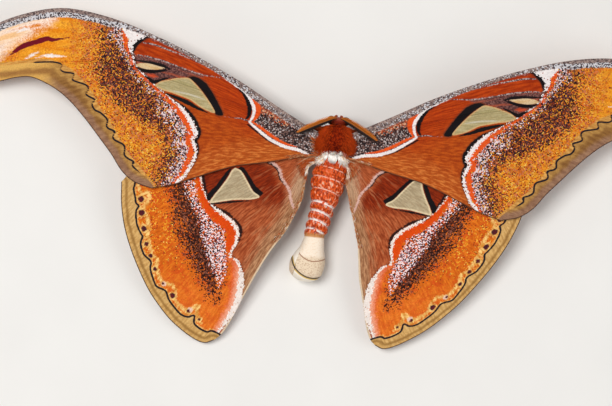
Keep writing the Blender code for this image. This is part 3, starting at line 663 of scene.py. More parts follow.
def fore_fields(plan):
    """The forewing's distances and marks, each mark positive inside."""
    u, v = plan[..., 0], plan[..., 1]
    inner = beyond(plan, rounded(*FORE_INNER_LINE), (1.0, -0.6))
    outer = beyond(plan, rounded(*FORE_OUTER_LINE), (1.0, 0.2))
    toothed = beyond(plan, rounded(TOOTHED, count=400), (1.0, -0.9))
    shift, half, near, far, black = np.moveaxis(smooth(FORE_LINE_WIDTHS, v), -1, 0)
    pale_reach, dark_reach = np.moveaxis(smooth(ZONE_REACH, v), -1, 0)
    edges = edge_fields(plan, FORE_EDGES)
    costa = edges["costa"]
    ends = np.clip(u - TOOTHED_ENDS[0], 0, 9) + np.clip(TOOTHED_ENDS[1] - v, 0, 9)
    return {
        "inner": inner,
        "outer": outer,
        "toothed": toothed,
        "past_pale": outer - far - pale_reach,
        "past_dark": outer - far - dark_reach,
        "white": any_of(half - np.abs(outer - shift), spot(plan, WHITE_WEDGE)),
        "orange": any_of(np.minimum(outer + near, far - outer), spot(plan, WEDGE_SMEAR) + 0.1),
        "black": any_of(
            np.minimum(shift - half - outer, outer - shift + half + black),
            stroke(plan, CRESCENT, 0.1, 0.7, 0.95, 0.9, 0.6, 0.1)),
        "window": spot(plan, WINDOW),
        "window_streak": stroke(plan, WINDOW_STREAK, 0.1, 0.3, 0.25, 0.3, 0.1),
        "window_frame": any_of(
            spot(plan, BASAL_BLACK),
            spot(plan, LOWER_BLACK),
            stroke(plan, WINDOW_CORNER, 0.1, 0.5, 0.55, 0.35, 0.1),
            stroke(plan, SMALL_TOP, 0.15, 0.3, 0.35, 0.45, 0.55, 0.1),
            stroke(plan, SMALL_BOTTOM, 0.1, 0.5, 0.55, 0.45, 0.1)),
        "soft_frame": spot(plan, BASAL_BLACK),
        "small_window": spot(plan, SMALL_WINDOW),
        "mauve": spot(plan, MAUVE_ZONE),
        "red_spot": stroke(plan, RED_SPOT, 0.4, 0.9, 0.2),
        "veins": any_of(
            stroke(plan, FRONT_VEIN, 0.12, 0.3, 0.25, 0.2, 0.1),
            stroke(plan, SECOND_VEIN, 0.05, 0.16, 0.16, 0.1),
            stroke(plan, CELL_VEIN, 0.2, 0.26, 0.22, 0.2, 0.2, 0.1),
            stroke(plan, CUSP_VEIN, 0.02, 0.12, 0.2, 0.2)),
        "inner_white": any_of(
            stroke(plan, FORE_INNER_LINE[0][1:], 0.1, 0.22, 0.35, 0.48, 0.55, 0.3),
            stroke(plan, FORE_INNER_LINE[1][:-1], 0.3, 0.48, 0.5, 0.5, 0.4)),
        "inner_orange": any_of(
            stroke(plan, INNER_ORANGE[0], 0.1, 0.4, 0.7, 0.95, 0.85, 0.4),
            stroke(plan, INNER_ORANGE[1], 0.3, 0.45, 0.5, 0.4, 0.1)),
        "inner_black": any_of(
            stroke(plan, INNER_BLACK[0], 0.1, 0.45, 0.7, 0.75, 0.7, 0.2),
            stroke(plan, INNER_BLACK[1], 0.3, 0.28, 0.2, 0.02)),
        "front_patch": spot(plan, FRONT_PATCH),
        "tooth": TOOTHED_HALF_WIDTH + 0.05 * np.clip((88 - u) / 10, 0, 1) - np.abs(toothed) - 0.25 * ends,
        "pocket": np.minimum(beyond(plan, rounded(TOOTHED_MEAN, count=200), (1.0, -0.9)) + 1.0, -toothed),
        "crimson": stroke(plan, CRIMSON, 0.1, 0.7, 0.85, 0.8, 0.85, 0.7, 0.35, 0.2),
        "lenses": any_of(*(stroke(plan, line, 0.05, 0.55, 0.05) for line in TIP_LENSES)),
        "tip": np.minimum(u - TIP_CORNER[0], v - TIP_CORNER[1]),
        "blush": np.minimum(u - BLUSH_START, 5.5 + 0.35 * (u - BLUSH_START) - costa),
        "band": smooth(BAND_WIDTH, u)[..., 0] - costa,
        **edges,
    }

# %% [markdown]
# ## Scales
#
# A moth's wing is a mosaic: each scale has one plain colour, and a field looks mixed because
# scales of two or three colours lie side by side. A smooth gradient would look airbrushed. So
# small random cells stand for the scales, each cell picks its colour from a short list, and the
# lists and their chances change with the distance from the lines.

# %% Colours and the shared steps of both wings
CREAM, WHITE, BLACK = paint(222, 192, 148), paint(240, 230, 226), paint(20, 14, 16)
ORANGE_RED, UNDERSIDE = paint(226, 84, 26), paint(190, 134, 108)
SCALES_PER_MM = 3.0
SCALE_RELIEF = 0.00009    # in metres
WINDOW_CLEARNESS = 0.3
PALE_SCALES = ((0.37, paint(232, 208, 208)), (0.38, paint(40, 26, 32)), (0.25, paint(160, 100, 96)))
DARK_SCALES = ((0.58, paint(50, 23, 25)), (0.2, paint(128, 60, 32)), (0.22, paint(108, 62, 58)))
GOLD_SCALES = (
    (0.44, paint(236, 158, 40)), (0.3, paint(214, 106, 20)), (0.17, paint(140, 50, 18)),
    (0.09, paint(246, 196, 92))
)
MAROON_SCALES = (
    (0.28, paint(150, 48, 30)), (0.3, paint(216, 104, 30)), (0.22, paint(206, 122, 92)),
    (0.2, paint(96, 28, 24))
)


class WingFinish(Finish):
    """What the two kinds of wing share: the scale mosaic, the lie of the scales and the bump."""

    def __init__(self, name):
        super().__init__(name, Roughness=0.72, Sheen_Weight=0.03, Sheen_Roughness=0.5, Specular_IOR_Level=0.1)
        self.plan, self.lie = self.read("plan", vector=True), self.read("lie", vector=True)
        cells = self.node("TexVoronoi", {"voronoi_dimensions": "2D"},
                          {"Vector": self.plan, "Scale": SCALES_PER_MM})
        tile = Wire(self, cells.socket.node.outputs["Color"])
        self.scale_relief = cells
        self.first, self.second, self.third = self.apart(tile)
        self.u, self.v, _ = self.apart(self.plan)
        self.cloud = self.noise(self.plan, 0.35, 3)
        self.frayed = (self.noise(self.plan, 1.1, 2) - 0.5) * 1.1 + (self.third - 0.5) * 0.4
        self.hairs = self.noise(self.lie, 1.0, 3)
        self.wide_hairs = self.noise(self.lie, 0.4, 3)

    def area(self, mark, edge=0.0, soft=0.12, frayed=0.4):
        """The mask of a mark over an edge, with its border frayed by the scales."""
        value = self.read(mark) if isinstance(mark, str) else mark
        return self.above(value + self.frayed * frayed, edge, soft)

    def chance(self, density):
        """Scale by scale, 1 with the given chance."""
        return self.above(density - self.second, 0.03, 0.02)

    def streaked(self, dark, light, middle=0.5, soft=0.16):
        """Two colours in fine streaks along the lie of the scales."""
        return self.blend(dark, light, self.above(self.hairs, middle, soft))

    def finish(self, colour, clear):
        """Shade every scale a little, pale the underside, clear the windows and raise the scales."""
        shade = 0.86 + self.third * 0.18 + (self.hairs - 0.5) * 0.34
        colour = self.blend(self.dim(colour, shade), UNDERSIDE, self.read("under") * 0.5)
        self.base(colour)
        self.plug(self.shader.inputs["Alpha"], 1 - clear * WINDOW_CLEARNESS)
        self.plug(self.shader.inputs["Roughness"], 0.75 - clear * 0.35)
        self.bump(self.scale_relief * 0.5 + self.hairs * 1.3 + (1 - clear) * 0.3, SCALE_RELIEF)


# %% Finish of the forewing
def fore_middle(m):
    """The rust-red middle and the speckled patch at the base, with the line between them."""
    costa, rear, inner = m.read("costa"), m.read("rear"), m.read("inner")
    colour = m.streaked(paint(160, 58, 8), paint(188, 82, 18))
    red = m.streaked(paint(156, 44, 3), paint(186, 66, 10))
    colour = m.blend(red, colour, m.above(costa + (m.cloud - 0.5) * 4.0, 12.0, 5.0))
    pale = m.streaked(paint(176, 78, 22), paint(208, 116, 50), 0.54, 0.1)
    colour = m.blend(pale, colour, m.above(rear + (m.wide_hairs - 0.5) * 8.0, 7.0, 4.0))
    mauve = m.pick(m.first, (0.5, paint(98, 58, 54)), (0.3, paint(128, 84, 76)), (0.2, paint(70, 40, 42)))
    mauve = m.blend(mauve, paint(176, 84, 58), m.above(m.wide_hairs, 0.58, 0.05) * 0.7)
    vein_grey = m.pick(m.first, (0.55, paint(70, 56, 58)), (0.45, paint(178, 160, 156)))
    patch = m.pick(m.first, (0.5, paint(44, 33, 34)), (0.17, paint(192, 176, 172)),
                   (0.33, paint(116, 86, 78)))
    warm = m.pick(m.first, (0.42, paint(186, 78, 40)), (0.2, paint(220, 168, 132)),
                  (0.38, paint(128, 74, 56)))
    patch = m.blend(patch, warm, m.chance(m.above(m.read("front_patch") + (m.cloud - 0.5) * 3.0, 0.0, 1.2)))
    return m.layers(colour, [
        (mauve, m.area("mauve", 0.0, 0.4, 0.8)),
        (paint(200, 78, 44), m.area("red_spot", 0.2, 0.3, 0.6)),
        (vein_grey, m.area("veins", 0.0, 0.08, 0.2)),
        (patch, 1 - m.area(inner, 0.0, 0.1, 0.3)),
        (ORANGE_RED, m.area("inner_orange", 0.0, 0.15, 0.5)),
        (BLACK, m.area("inner_black", 0.0, 0.2, 0.5)),
        (WHITE, m.area("inner_white", 0.0, 0.1, 0.35))])


def fore_field(m):
    """The mixed scales beyond the outer line, the golden tip and its streaks."""
    patchy = m.above(m.cloud + (m.third - 0.5) * 0.3, 0.54, 0.12)
    field = m.blend(m.pick(m.first, *GOLD_SCALES), m.pick(m.first, *MAROON_SCALES), patchy * 0.75)
    gold = m.blend(paint(228, 128, 8), paint(248, 172, 46),
                   m.above(m.wide_hairs + (m.third - 0.5) * 0.2, 0.5, 0.2))
    blush = m.blend(paint(254, 232, 218), paint(248, 196, 140), m.above(m.wide_hairs, 0.54, 0.14))
    streaks = m.above(m.wide_hairs + m.third * 0.1, 0.44, 0.1)
    dark = 1 - m.above(m.read("past_dark") + (m.cloud - 0.5) * 8.0, 0.0, 3.5)
    pale = 1 - m.above(m.read("past_pale") + (m.cloud - 0.5) * 3.0, 0.0, 2.2)
    sandy = m.streaked(paint(188, 128, 58), paint(222, 166, 88))
    return m.layers(field, [
        (gold, m.above(m.read("tip") + (m.first - 0.5) * 8.0, 4.0, 4.0)),
        (blush, m.area("blush", 1.5, 2.5, 3.0) * streaks),
        (paint(246, 232, 224), m.area("lenses", 0.0, 0.25, 0.5)),
        (m.pick(m.first, *DARK_SCALES), m.chance(dark * 0.78)),
        (m.pick(m.first, *PALE_SCALES), m.chance(pale * 0.9)),
        (sandy, m.area("pocket", 0.0, 0.25, 0.6))])


def fore_margin(m):
    """The pale margin: sandy by the stepped line, brown in its middle, mauve-grey at the rim."""
    toothed, margin = m.read("toothed"), m.read("margin")
    rim = m.streaked(paint(138, 98, 74), paint(160, 120, 92), 0.5, 0.2)
    brown = m.streaked(paint(128, 84, 42), paint(150, 106, 54), 0.5, 0.25)
    sand = m.streaked(paint(162, 114, 56), paint(184, 138, 74), 0.48, 0.2)
    colour = m.blend(sand, brown, m.above(toothed + (m.cloud - 0.5) * 2.0, 1.5, 0.7))
    colour = m.blend(rim, colour, m.above(margin + (m.cloud - 0.5) * 1.6, 2.3, 0.9))
    golden = m.blend(paint(222, 170, 88), paint(166, 116, 60), m.above(toothed + (m.cloud - 0.5), 2.0, 0.7)
                     * (1 - m.above(toothed, 4.0, 0.8)))
    colour = m.blend(colour, golden, m.above(m.u, 93.0, 5.0))
    return m.blend(paint(78, 52, 44), colour, m.above(margin, 0.28, 0.12))


def fore_band(m, band):
    """The leading edge: a grey-brown rim and a strip of whitish and dark scales behind it."""
    rim = m.pick(m.first, (0.5, paint(134, 112, 106)), (0.2, paint(86, 70, 68)), (0.3, paint(168, 146, 136)))
    frost = m.pick(m.first, (0.6, paint(208, 204, 206)), (0.4, paint(70, 60, 64)))
    behind = 1 - m.above(band + m.frayed * 0.4, 1.7, 0.3)
    near_base = m.above(m.u, 22.0, 3.0) * (1 - m.above(m.u, 38.0, 4.0))
    strong = 0.3 + m.above(m.u, 68.0, 6.0) * 0.65 + near_base * 0.25
    return m.blend(rim, frost, m.chance(behind * strong))


def fore_finish():
    """The forewing's colours, laid over one another from the middle outward."""
    m = WingFinish("forewing scales")
    window, band = m.read("window"), m.read("band")
    colour = m.blend(fore_middle(m), fore_field(m), m.above(m.read("outer"), 0.0, 0.05))
    glass = m.blend(paint(182, 166, 112), paint(206, 192, 142), m.above(m.hairs, 0.5, 0.2))
    glass = m.blend(glass, paint(226, 218, 192), m.above(m.read("window_streak"), 0.0, 0.2) * 0.8)
    rimmed = m.blend(paint(206, 168, 116), glass, m.above(window + m.frayed * 0.2, 0.45, 0.25))
    small = m.blend(CREAM, paint(206, 166, 112), m.above(m.hairs, 0.55, 0.1))
    colour = m.layers(colour, [
        (ORANGE_RED, m.chance(m.area("orange", 0.1, 0.7, 1.6))),
        (paint(96, 44, 24), m.area("black", -0.3, 0.3, 0.7) * 0.7),
        (BLACK, m.area("black", 0.0, 0.15, 0.5)),
        (WHITE, m.chance(m.area("white", 0.0, 0.35, 0.9))),
        (paint(112, 52, 28), m.area("soft_frame", -0.35, 0.3, 0.5) * 0.8),
        (BLACK, m.area("window_frame", 0.0, 0.12, 0.3)),
        (rimmed, m.area(window, 0.0, 0.1, 0.12)),
        (small, m.area("small_window", 0.0, 0.1, 0.12)),
        (paint(112, 14, 30), m.area("crimson", 0.0, 0.12, 0.35)),
        (fore_margin(m), m.above(m.read("toothed"), 0.0, 0.08)),
        (paint(32, 26, 34), m.area("tooth", 0.0, 0.08, 0.08)),
        (fore_band(m, band), m.area(band, 0.0, 0.2, 0.5))])
    colour = m.blend(paint(96, 56, 36), colour, m.above(m.read("rear"), 0.3, 0.15))
    m.finish(colour, m.above(window, 0.5, 0.25))
    return m


# %% Build the two forewings
FORE_GRID = (301, 141)
SIDES = ((-1, "left"), (1, "right"))
STREAKS_ALONG = 24.0      # how often the streaks change along the wing
STREAKS_ACROSS = 85.0     # and across it


def sheet_fields(plan, veins, fields):
    """Adds the plan itself and the lie of the scales to a wing's fields, and gives its relief."""
    s, t = np.broadcast_arrays(*shares(*plan.shape[:2]))
    fields["plan"] = np.dstack([plan, np.zeros_like(s)])
    fields["lie"] = np.dstack([STREAKS_ALONG * s, STREAKS_ACROSS * t, np.zeros_like(s)])
    return wing_relief(plan, veins)


def fore_place(plan, word):
    """The plan turned about the body's middle, as one side of the moth holds it."""
    turn = FORE_TURN[word]
    return plan @ np.array([[math.cos(turn), math.sin(turn)], [-math.sin(turn), math.cos(turn)]])


def build_wings(kind, plan, place, veins, below, fields, finish):
    """Both wings of a kind, from one set of fields and one relief."""
    relief = sheet_fields(plan, veins, fields)
    for side, word in SIDES:
        wing = wing_mesh(f"moth_{kind}_{word}", place(plan, word), relief, side, below, fields)
        dress(wing, finish, kind, f"{kind}_{word}")


fore_plan = wing_plan(*FORE_EDGES, *FORE_GRID)
build_wings("forewing", fore_plan, fore_place, FORE_VEINS, 0.0, fore_fields(fore_plan), fore_finish())

# %% [markdown]
# ## The hindwing
#
# The hindwing repeats the forewing's plan of lines on a rounder sheet: a rust-red base with one
# three-cornered window, a white line, a zone of pale and then of dark scales, an orange field, a
# row of small dark moons in gold, and a tan margin behind a black wavy line. It is drawn the same
# way, with strokes and spots on its own plan.

# %% Lines of the hindwing
HIND_INNER_LINE = (
    (24.0, -2.0), (21.6, -4.8), (18.0, -6.4), (15.9, -8.2), (15.0, -10.6), (13.5, -12.6), (12.0, -14.9),
    (11.3, -17.6), (9.0, -22.0)
)
HIND_OUTER_LINE = (
    ((43.4, 2.0), (43.0, -4.0), (42.3, -9.5), (41.2, -13.6), (39.9, -17.4), (38.2, -20.2), (36.0, -22.5),
     (33.3, -24.3), (30.6, -25.9), (28.4, -28.0), (27.5, -30.7), (27.9, -33.6), (28.9, -36.4),
     (29.2, -38.0)),
    ((29.2, -38.0), (27.2, -38.9), (25.7, -41.0), (24.9, -44.8), (24.9, -49.3), (25.6, -53.7),
     (27.7, -58.3), (30.4, -63.0), (33.0, -68.0)),
)
# Over the plan's v: half the white line's width, how far the orange edge reaches, and the black edge's width.
HIND_LINE_WIDTHS = (
    (-68, 0.1, 0.6, 0.0), (-62, 0.4, 1.6, 0.0), (-56, 1.0, 2.8, 0.0), (-50, 1.15, 3.6, 0.0),
    (-45, 0.85, 3.6, 0.1), (-41, 0.55, 2.6, 0.2), (-38.2, 0.25, 0.7, 0.2), (-35.5, 0.3, 2.0, 0.2),
    (-32, 0.5, 3.4, 0.7), (-28, 0.6, 3.7, 1.3), (-24.5, 0.5, 3.1, 0.7), (-21, 0.25, 2.3, 0.5),
    (-17, 0.2, 1.8, 0.9), (-12, 0.25, 1.6, 1.2), (-4, 0.3, 1.6, 1.2)
)
HIND_WINDOW = (
    (30.3, -9.0), (28.2, -10.0), (25.9, -13.1), (23.9, -15.9), (21.5, -17.6), (24.0, -18.7), (27.0, -19.1),
    (29.9, -19.5), (33.6, -20.4), (37.4, -21.2), (36.4, -18.8), (34.7, -16.2), (32.6, -12.7), (31.4, -10.0)
)
RIGHT_BAR = (
    (29.6, -9.2), (28.1, -8.3), (25.8, -10.5), (23.1, -14.0), (20.4, -16.2), (21.3, -17.4), (23.0, -17.0),
    (25.3, -14.0), (27.4, -10.9)
)
LEFT_BAR = (
    (30.9, -8.9), (32.4, -9.6), (33.9, -11.6), (36.1, -15.2), (38.7, -18.6), (38.0, -20.9), (35.4, -17.2),
    (32.9, -13.1), (31.6, -10.3)
)
BOTTOM_BAR = ((37.2, -21.6), (29.9, -20.1), (24.0, -19.2))
CORNER_BAR = ((37.6, -21.8), (34.4, -23.2), (31.4, -24.0), (29.6, -25.4))
PALE_ZONE = (
    (44.5, -2.0), (47.8, -6.0), (47.2, -14.1), (45.2, -19.8), (42.8, -24.1), (40.4, -28.8), (38.9, -34.0),
    (36.8, -39.5), (33.8, -45.0), (31.7, -49.0), (30.0, -45.0), (29.6, -39.5), (30.0, -36.0), (30.5, -32.0),
    (31.0, -29.0), (33.6, -27.0), (38.0, -23.5), (41.0, -19.0), (42.5, -12.0)
)
DARK_ZONE = (
    (44.5, -1.0), (55.0, -6.0), (53.2, -15.1), (51.4, -21.5), (49.6, -27.8), (47.2, -34.6), (43.4, -41.4),
    (38.2, -49.0), (33.4, -54.0), (30.4, -51.0), (29.6, -43.0), (29.8, -36.0), (31.0, -29.0), (38.0, -23.5),
    (41.0, -19.0), (42.5, -12.0)
)
WAVY = (
    (62.4, -10.0), (62.6, -14.5), (62.4, -17.7), (62.7, -19.3), (62.0, -21.8), (61.5, -23.8), (60.5, -24.7),
    (61.2, -26.2), (61.1, -28.3), (60.5, -31.0), (59.2, -33.4), (58.4, -34.6), (58.8, -37.0), (57.4, -40.4),
    (55.0, -42.4), (54.9, -44.9), (53.8, -47.9), (52.4, -50.4), (49.9, -51.3), (48.9, -52.2), (47.8, -54.6),
    (45.3, -57.4), (43.3, -59.0), (41.1, -59.5), (39.1, -58.8), (38.9, -61.3), (37.1, -62.8), (34.4, -63.8),
    (32.6, -63.3), (28.0, -65.0)
)
MOONS = (
    (60.0, -22.4), (59.4, -26.8), (58.2, -31.9), (56.9, -36.8), (55.2, -40.6), (53.4, -44.8), (50.3, -49.3),
    (46.8, -53.0), (41.2, -57.6), (37.4, -59.9)
)
MOON_SIZES = (0.95, 1.05, 0.9, 0.75, 0.7, 0.7, 0.45, 0.9, 0.6, 0.5)
GOLD_LINING = (
    ((61.4, -15.0), (60.9, -19.2), (59.5, -20.7), (57.8, -20.2), (57.6, -22.8), (58.9, -25.0),
     (57.6, -27.7), (56.8, -30.5), (56.7, -34.1), (55.4, -38.4)),
    ((55.4, -38.4), (54.4, -40.4), (53.0, -41.4), (52.8, -44.3), (51.6, -47.6), (50.0, -49.0),
     (47.2, -49.6), (46.0, -51.5), (46.0, -53.8), (43.8, -56.4), (42.0, -57.4), (39.9, -56.5),
     (38.1, -55.5), (38.2, -58.0), (36.8, -60.9)),
)
PINK_LOOPS = ((50.0, -49.4), (40.6, -57.0))
FOLD_LINE = (
    (6.6, 1.0), (8.0, -2.2), (9.4, -9.2), (11.0, -14.8), (12.6, -20.4), (16.2, -27.4), (20.3, -35.4),
    (23.7, -44.5), (24.8, -50.7), (26.0, -60.0)
)
HIND_GRID = (261, 161)
HIND_INNER_HALF_WIDTH = 0.42
WAVY_HALF_WIDTH = 0.33


def hind_fields(plan):
    """The hindwing's distances and marks, each mark positive inside."""
    u, v = plan[..., 0], plan[..., 1]
    inner = beyond(plan, rounded(HIND_INNER_LINE), (1.0, -0.4))
    outer = beyond(plan, rounded(*HIND_OUTER_LINE), (1.0, -0.1))
    wavy = beyond(plan, rounded(WAVY, count=260), (1.0, -0.9))
    half, orange, black = np.moveaxis(smooth(HIND_LINE_WIDTHS, v), -1, 0)
    moon = np.max([size - np.hypot(u - x, v - y) for (x, y), size in zip(MOONS, MOON_SIZES)], axis=0)
    loop = np.max([0.8 - np.hypot(u - x, v - y) for x, y in PINK_LOOPS], axis=0)
    lining = any_of(*(stroke(plan, line, 0.55, 0.75, 0.6, 0.8, 0.6, count=90) for line in GOLD_LINING))
    return {
        "inner": inner,
        "outer": outer,
        "toothed": wavy,
        "white": half - np.abs(outer),
        "orange": np.minimum(outer, orange - outer),
        "black": any_of(
            np.minimum(-half - outer, outer + half + black),
            stroke(plan, CORNER_BAR, 0.2, 0.75, 0.6, 0.3)),
        "window": spot(plan, HIND_WINDOW),
        "window_frame": any_of(
            spot(plan, RIGHT_BAR),
            spot(plan, LEFT_BAR),
            stroke(plan, BOTTOM_BAR, 0.35, 0.5, 0.25)),
        "pale_zone": spot(plan, PALE_ZONE),
        "dark_zone": spot(plan, DARK_ZONE),
        "inner_white": HIND_INNER_HALF_WIDTH - np.abs(inner),
        "inner_black": np.minimum(inner, 0.75 + 0.2 * np.clip(v + 12, -3.5, 1) - inner),
        "tooth": WAVY_HALF_WIDTH - np.abs(wavy),
        "moon": moon,
        "loop": loop,
        "lining": any_of(lining, np.minimum(0.75 + wavy, -wavy), moon + 0.7),
        "fold": beyond(plan, rounded(FOLD_LINE), (-1.0, -0.4)),
        **edge_fields(plan, HIND_EDGES),
    }


# %% Finish of the hindwing
def hind_base(m):
    """The hairy rust-red base, the brown fold along the inner edge, and the broken pale line across."""
    inner, rear, fold = m.read("inner"), m.read("rear"), m.read("fold")
    colour = m.streaked(paint(146, 60, 26), paint(186, 96, 54))
    pale_hairs = m.above(m.wide_hairs, 0.6, 0.05) * (1 - m.above(rear, 15.0, 6.0))
    brown = m.streaked(paint(148, 96, 62), paint(190, 138, 98), 0.5, 0.14)
    pale_brown = m.streaked(paint(176, 132, 98), paint(212, 176, 142))
    brown = m.blend(brown, pale_brown, m.above(m.v, -17.0, 4.0) * 0.8)
    broken = m.area("inner_white", 0.0, 0.25, 0.9)
    return m.layers(colour, [
        # The darker rust beyond the pale line in the upper part of the base is partly the wing's own colour
        # and partly painted shade.
        (m.streaked(paint(112, 30, 4), paint(146, 46, 8)),
         m.above(inner, 1.5, 1.5) * m.above(m.v + (m.wide_hairs - 0.5) * 6.0, -20.0, 3.0)),
        (paint(200, 130, 86), pale_hairs * 0.4),
        (brown, m.above(fold + m.frayed * 0.7 + (m.wide_hairs - 0.5) * 6.0, -1.0, 2.2)),
        (paint(226, 200, 166), 1 - m.above(rear, 0.5, 0.2)),
        (BLACK, m.area("inner_black", 0.0, 0.2, 0.6) * m.above(m.v, -14.0, 1.5)),
        (paint(222, 178, 164), broken * 0.9)])


def hind_field(m):
    """The orange field with its zones of pale and dark scales, and the moons in their golden lining."""
    field = m.blend(m.streaked(paint(206, 92, 14), paint(226, 118, 26)), paint(214, 84, 22),
                    m.above(m.cloud + (m.first - 0.5) * 0.2, 0.54, 0.12))
    grainy = m.above(m.cloud, 0.44, 0.15) * m.above(m.v, -42.0, 8.0)
    field = m.blend(field, m.pick(m.first, *GOLD_SCALES), m.chance(grainy * 0.42))
    plain = m.streaked(paint(226, 110, 26), paint(238, 128, 42))
    plain = m.blend(plain, paint(212, 82, 24), m.above(m.cloud + (m.first - 0.5) * 0.2, 0.52, 0.14) * 0.6)
    field = m.blend(plain, field, m.above(m.v + (m.cloud - 0.5) * 12, -48.0, 6.0))
    dark_zone, pale_zone = m.read("dark_zone"), m.read("pale_zone")
    dark = m.above(dark_zone + (m.cloud - 0.5) * 4.0, 1.3, 3.6)
    brown = m.pick(m.first, (0.48, paint(44, 19, 14)), (0.28, paint(104, 44, 22)), (0.24, paint(138, 78, 58)))
    pale = m.above(pale_zone + (m.cloud - 0.5) * 2.0, 0.6, 1.6)
    lavender = m.pick(m.first, (0.42, paint(250, 224, 224)), (0.34, paint(40, 22, 32)),
                      (0.12, paint(168, 112, 124)), (0.12, paint(214, 92, 40)))
    gold = m.blend(paint(220, 144, 54), paint(248, 204, 124), m.above(m.hairs, 0.5, 0.15))
    return m.layers(field, [
        (brown, m.chance(dark * 0.95)),
        (lavender, m.chance(pale * 0.92)),
        (gold, m.area("lining", 0.1, 0.3, 1.2)),
        (paint(236, 196, 172), m.area("loop", 0.0, 0.25, 0.5)),
        (m.blend(paint(96, 26, 32), paint(62, 26, 38), m.above(m.first, 0.6, 0.1)),
         m.area("moon", 0.0, 0.2, 0.6))])


def hind_margin(m):
    """The tan margin with a soft olive line, and its thin dark rim."""
    margin = m.read("margin")
    tan = m.streaked(paint(200, 150, 84), paint(218, 174, 108))
    wavering = margin + (m.cloud - 0.5) * 0.8
    olive = m.above(wavering, 1.3, 0.35) * (1 - m.above(wavering, 2.2, 0.4))
    tan = m.blend(tan, paint(156, 112, 56), olive * 0.85)
    return m.blend(paint(74, 50, 38), tan, m.above(margin, 0.3, 0.14))


def hind_finish():
    """The hindwing's colours, laid over one another in the same way."""
    m = WingFinish("hindwing scales")
    window, outer = m.read("window"), m.read("outer")
    low = 1 - m.above(m.v, -41.0, 4.0)
    colour = m.blend(hind_base(m), hind_field(m), m.above(outer, 0.0, 0.05))
    orange = m.blend(paint(222, 72, 6), paint(232, 104, 52), low)
    beside_white = m.area("white", -1.1, 1.0, 1.4) * m.above(outer, 0.0, 0.3)
    glass = m.streaked(paint(190, 168, 130), paint(208, 190, 152), 0.5, 0.2)
    rimmed = m.blend(paint(226, 204, 164), glass, m.above(window + m.frayed * 0.15, 0.5, 0.3))
    colour = m.layers(colour, [
        (orange, m.chance(m.area("orange", 0.1, 0.7, 1.6)) * (1 - low * 0.35)),
        (paint(242, 164, 132), beside_white * low),
        (paint(44, 20, 16), m.area("black", 0.0, 0.25, 0.8)),
        (paint(244, 230, 220), m.chance(m.area("white", 0.0, 0.4, 0.9))),
        (BLACK, m.area("window_frame", 0.15, 0.12, 0.4)),
        (rimmed, m.area(window, 0.0, 0.1, 0.1)),
        (hind_margin(m), m.above(m.read("toothed"), 0.0, 0.1)),
        (paint(34, 28, 34), m.area("tooth", 0.0, 0.1, 0.25))])
    m.finish(colour, m.above(window, 0.6, 0.3))
    return m


# %% Build the two hindwings
def hind_place(plan, word):
    """The plan drawn out about its hinge, and its inner edge pushed outward half way down."""
    place = HIND_HINGE + (plan - HIND_HINGE) @ np.array(HIND_DRAW[word]).T
    s, t = shares(*plan.shape[:2])
    place[..., 0] += HIND_BOW[word] * smooth(BOW_SHAPE, s)[..., 0] * t ** BOW_FADE
    return place


hind_plan = wing_plan(*HIND_EDGES, *HIND_GRID)
build_wings("hindwing", hind_plan, hind_place, HIND_VEINS, HINDWING_BELOW, hind_fields(hind_plan),
            hind_finish())

# %% [markdown]
# ## The body under its coat
#
# Head, thorax and abdomen are one skin on the living moth, so they are made as one closed
# surface here and no seam shows. A sphere for each part would leave creases between them. The
# surface is a ring of points carried along the body, whose middle, width and height come from a
# table, drawn in by the depth of the coat.

# %% The body's surface
# y, then the centre's x and z, half the width, half the height, and the coat's depth.
BODY = (
    (10.8, 1.45, 10.5, 0.9, 1.0, 0.5), (10.45, 1.45, 10.6, 2.0, 2.1, 0.5), (9.9, 1.45, 10.7, 2.8, 2.8, 0.5),
    (9.2, 1.45, 10.8, 3.0, 2.9, 0.5), (8.7, 1.45, 10.9, 2.5, 2.5, 0.5), (8.2, 1.42, 10.95, 2.7, 2.9, 0.6),
    (7.6, 1.4, 11.1, 3.4, 4.0, 0.6), (5.8, 1.35, 11.5, 4.8, 5.7, 0.7), (3.0, 1.3, 11.8, 6.2, 6.5, 0.7),
    (0.8, 1.2, 11.6, 6.6, 6.2, 0.7), (-1.0, 0.95, 11.2, 5.0, 5.1, 0.7), (-3.0, 0.85, 10.9, 4.9, 5.2, 0.6),
    (-5.8, 0.7, 10.6, 5.9, 5.6, 0.6), (-9.2, 0.4, 10.2, 6.1, 5.7, 0.6), (-13.1, 0.05, 9.6, 5.6, 5.3, 0.6),
    (-17.4, -0.5, 8.9, 4.7, 4.8, 0.6), (-20.4, -0.95, 8.3, 4.3, 4.5, 0.6),
    (-23.4, -1.45, 7.7, 4.2, 4.3, 0.6), (-26.4, -2.0, 7.2, 4.1, 4.1, 0.6),
    (-28.7, -2.4, 6.8, 3.6, 3.6, 0.35), (-31.5, -2.7, 6.2, 3.9, 4.0, 0.1),
    (-34.5, -3.3, 5.4, 5.0, 4.8, 0.1), (-37.5, -3.8, 5.0, 5.9, 5.3, 0.1), (-40.5, -4.0, 4.8, 5.6, 5.1, 0.1),
    (-42.6, -3.9, 4.6, 4.1, 3.9, 0.1), (-43.7, -3.9, 4.5, 2.0, 2.0, 0.1)
)
SEGMENT_RINGS = (-2.6, -5.8, -9.2, -13.1, -17.4, -20.4, -23.4, -26.4)
RING_LEAN = 0.9           # a ring lies further back on the flanks than on the back by this
SEGMENT_SWELL = 0.35
SEGMENT_SHOULDER = 1.7    # a segment has its full swell this far from its ring
SWELLS_BETWEEN = (-1.5, -29.0)
SWELLS_FADE = 1.5         # the rings and swells fade in over this, between those two values of y
RING_TILT = 1.1           # and further back on the right flank by this, square to the bent abdomen
RING_DEPTH = 0.3
RING_WIDTH = 0.45
SQUARENESS = ((-44, 2.6), (-31, 2.6), (-27, 2.0), (12, 2.0))
PLATE_LINE = ((-7.6, -32.5), (-6.9, -34.5), (-4.7, -36.2), (-2.0, -36.8), (1.4, -36.0), (3.0, -34.4))
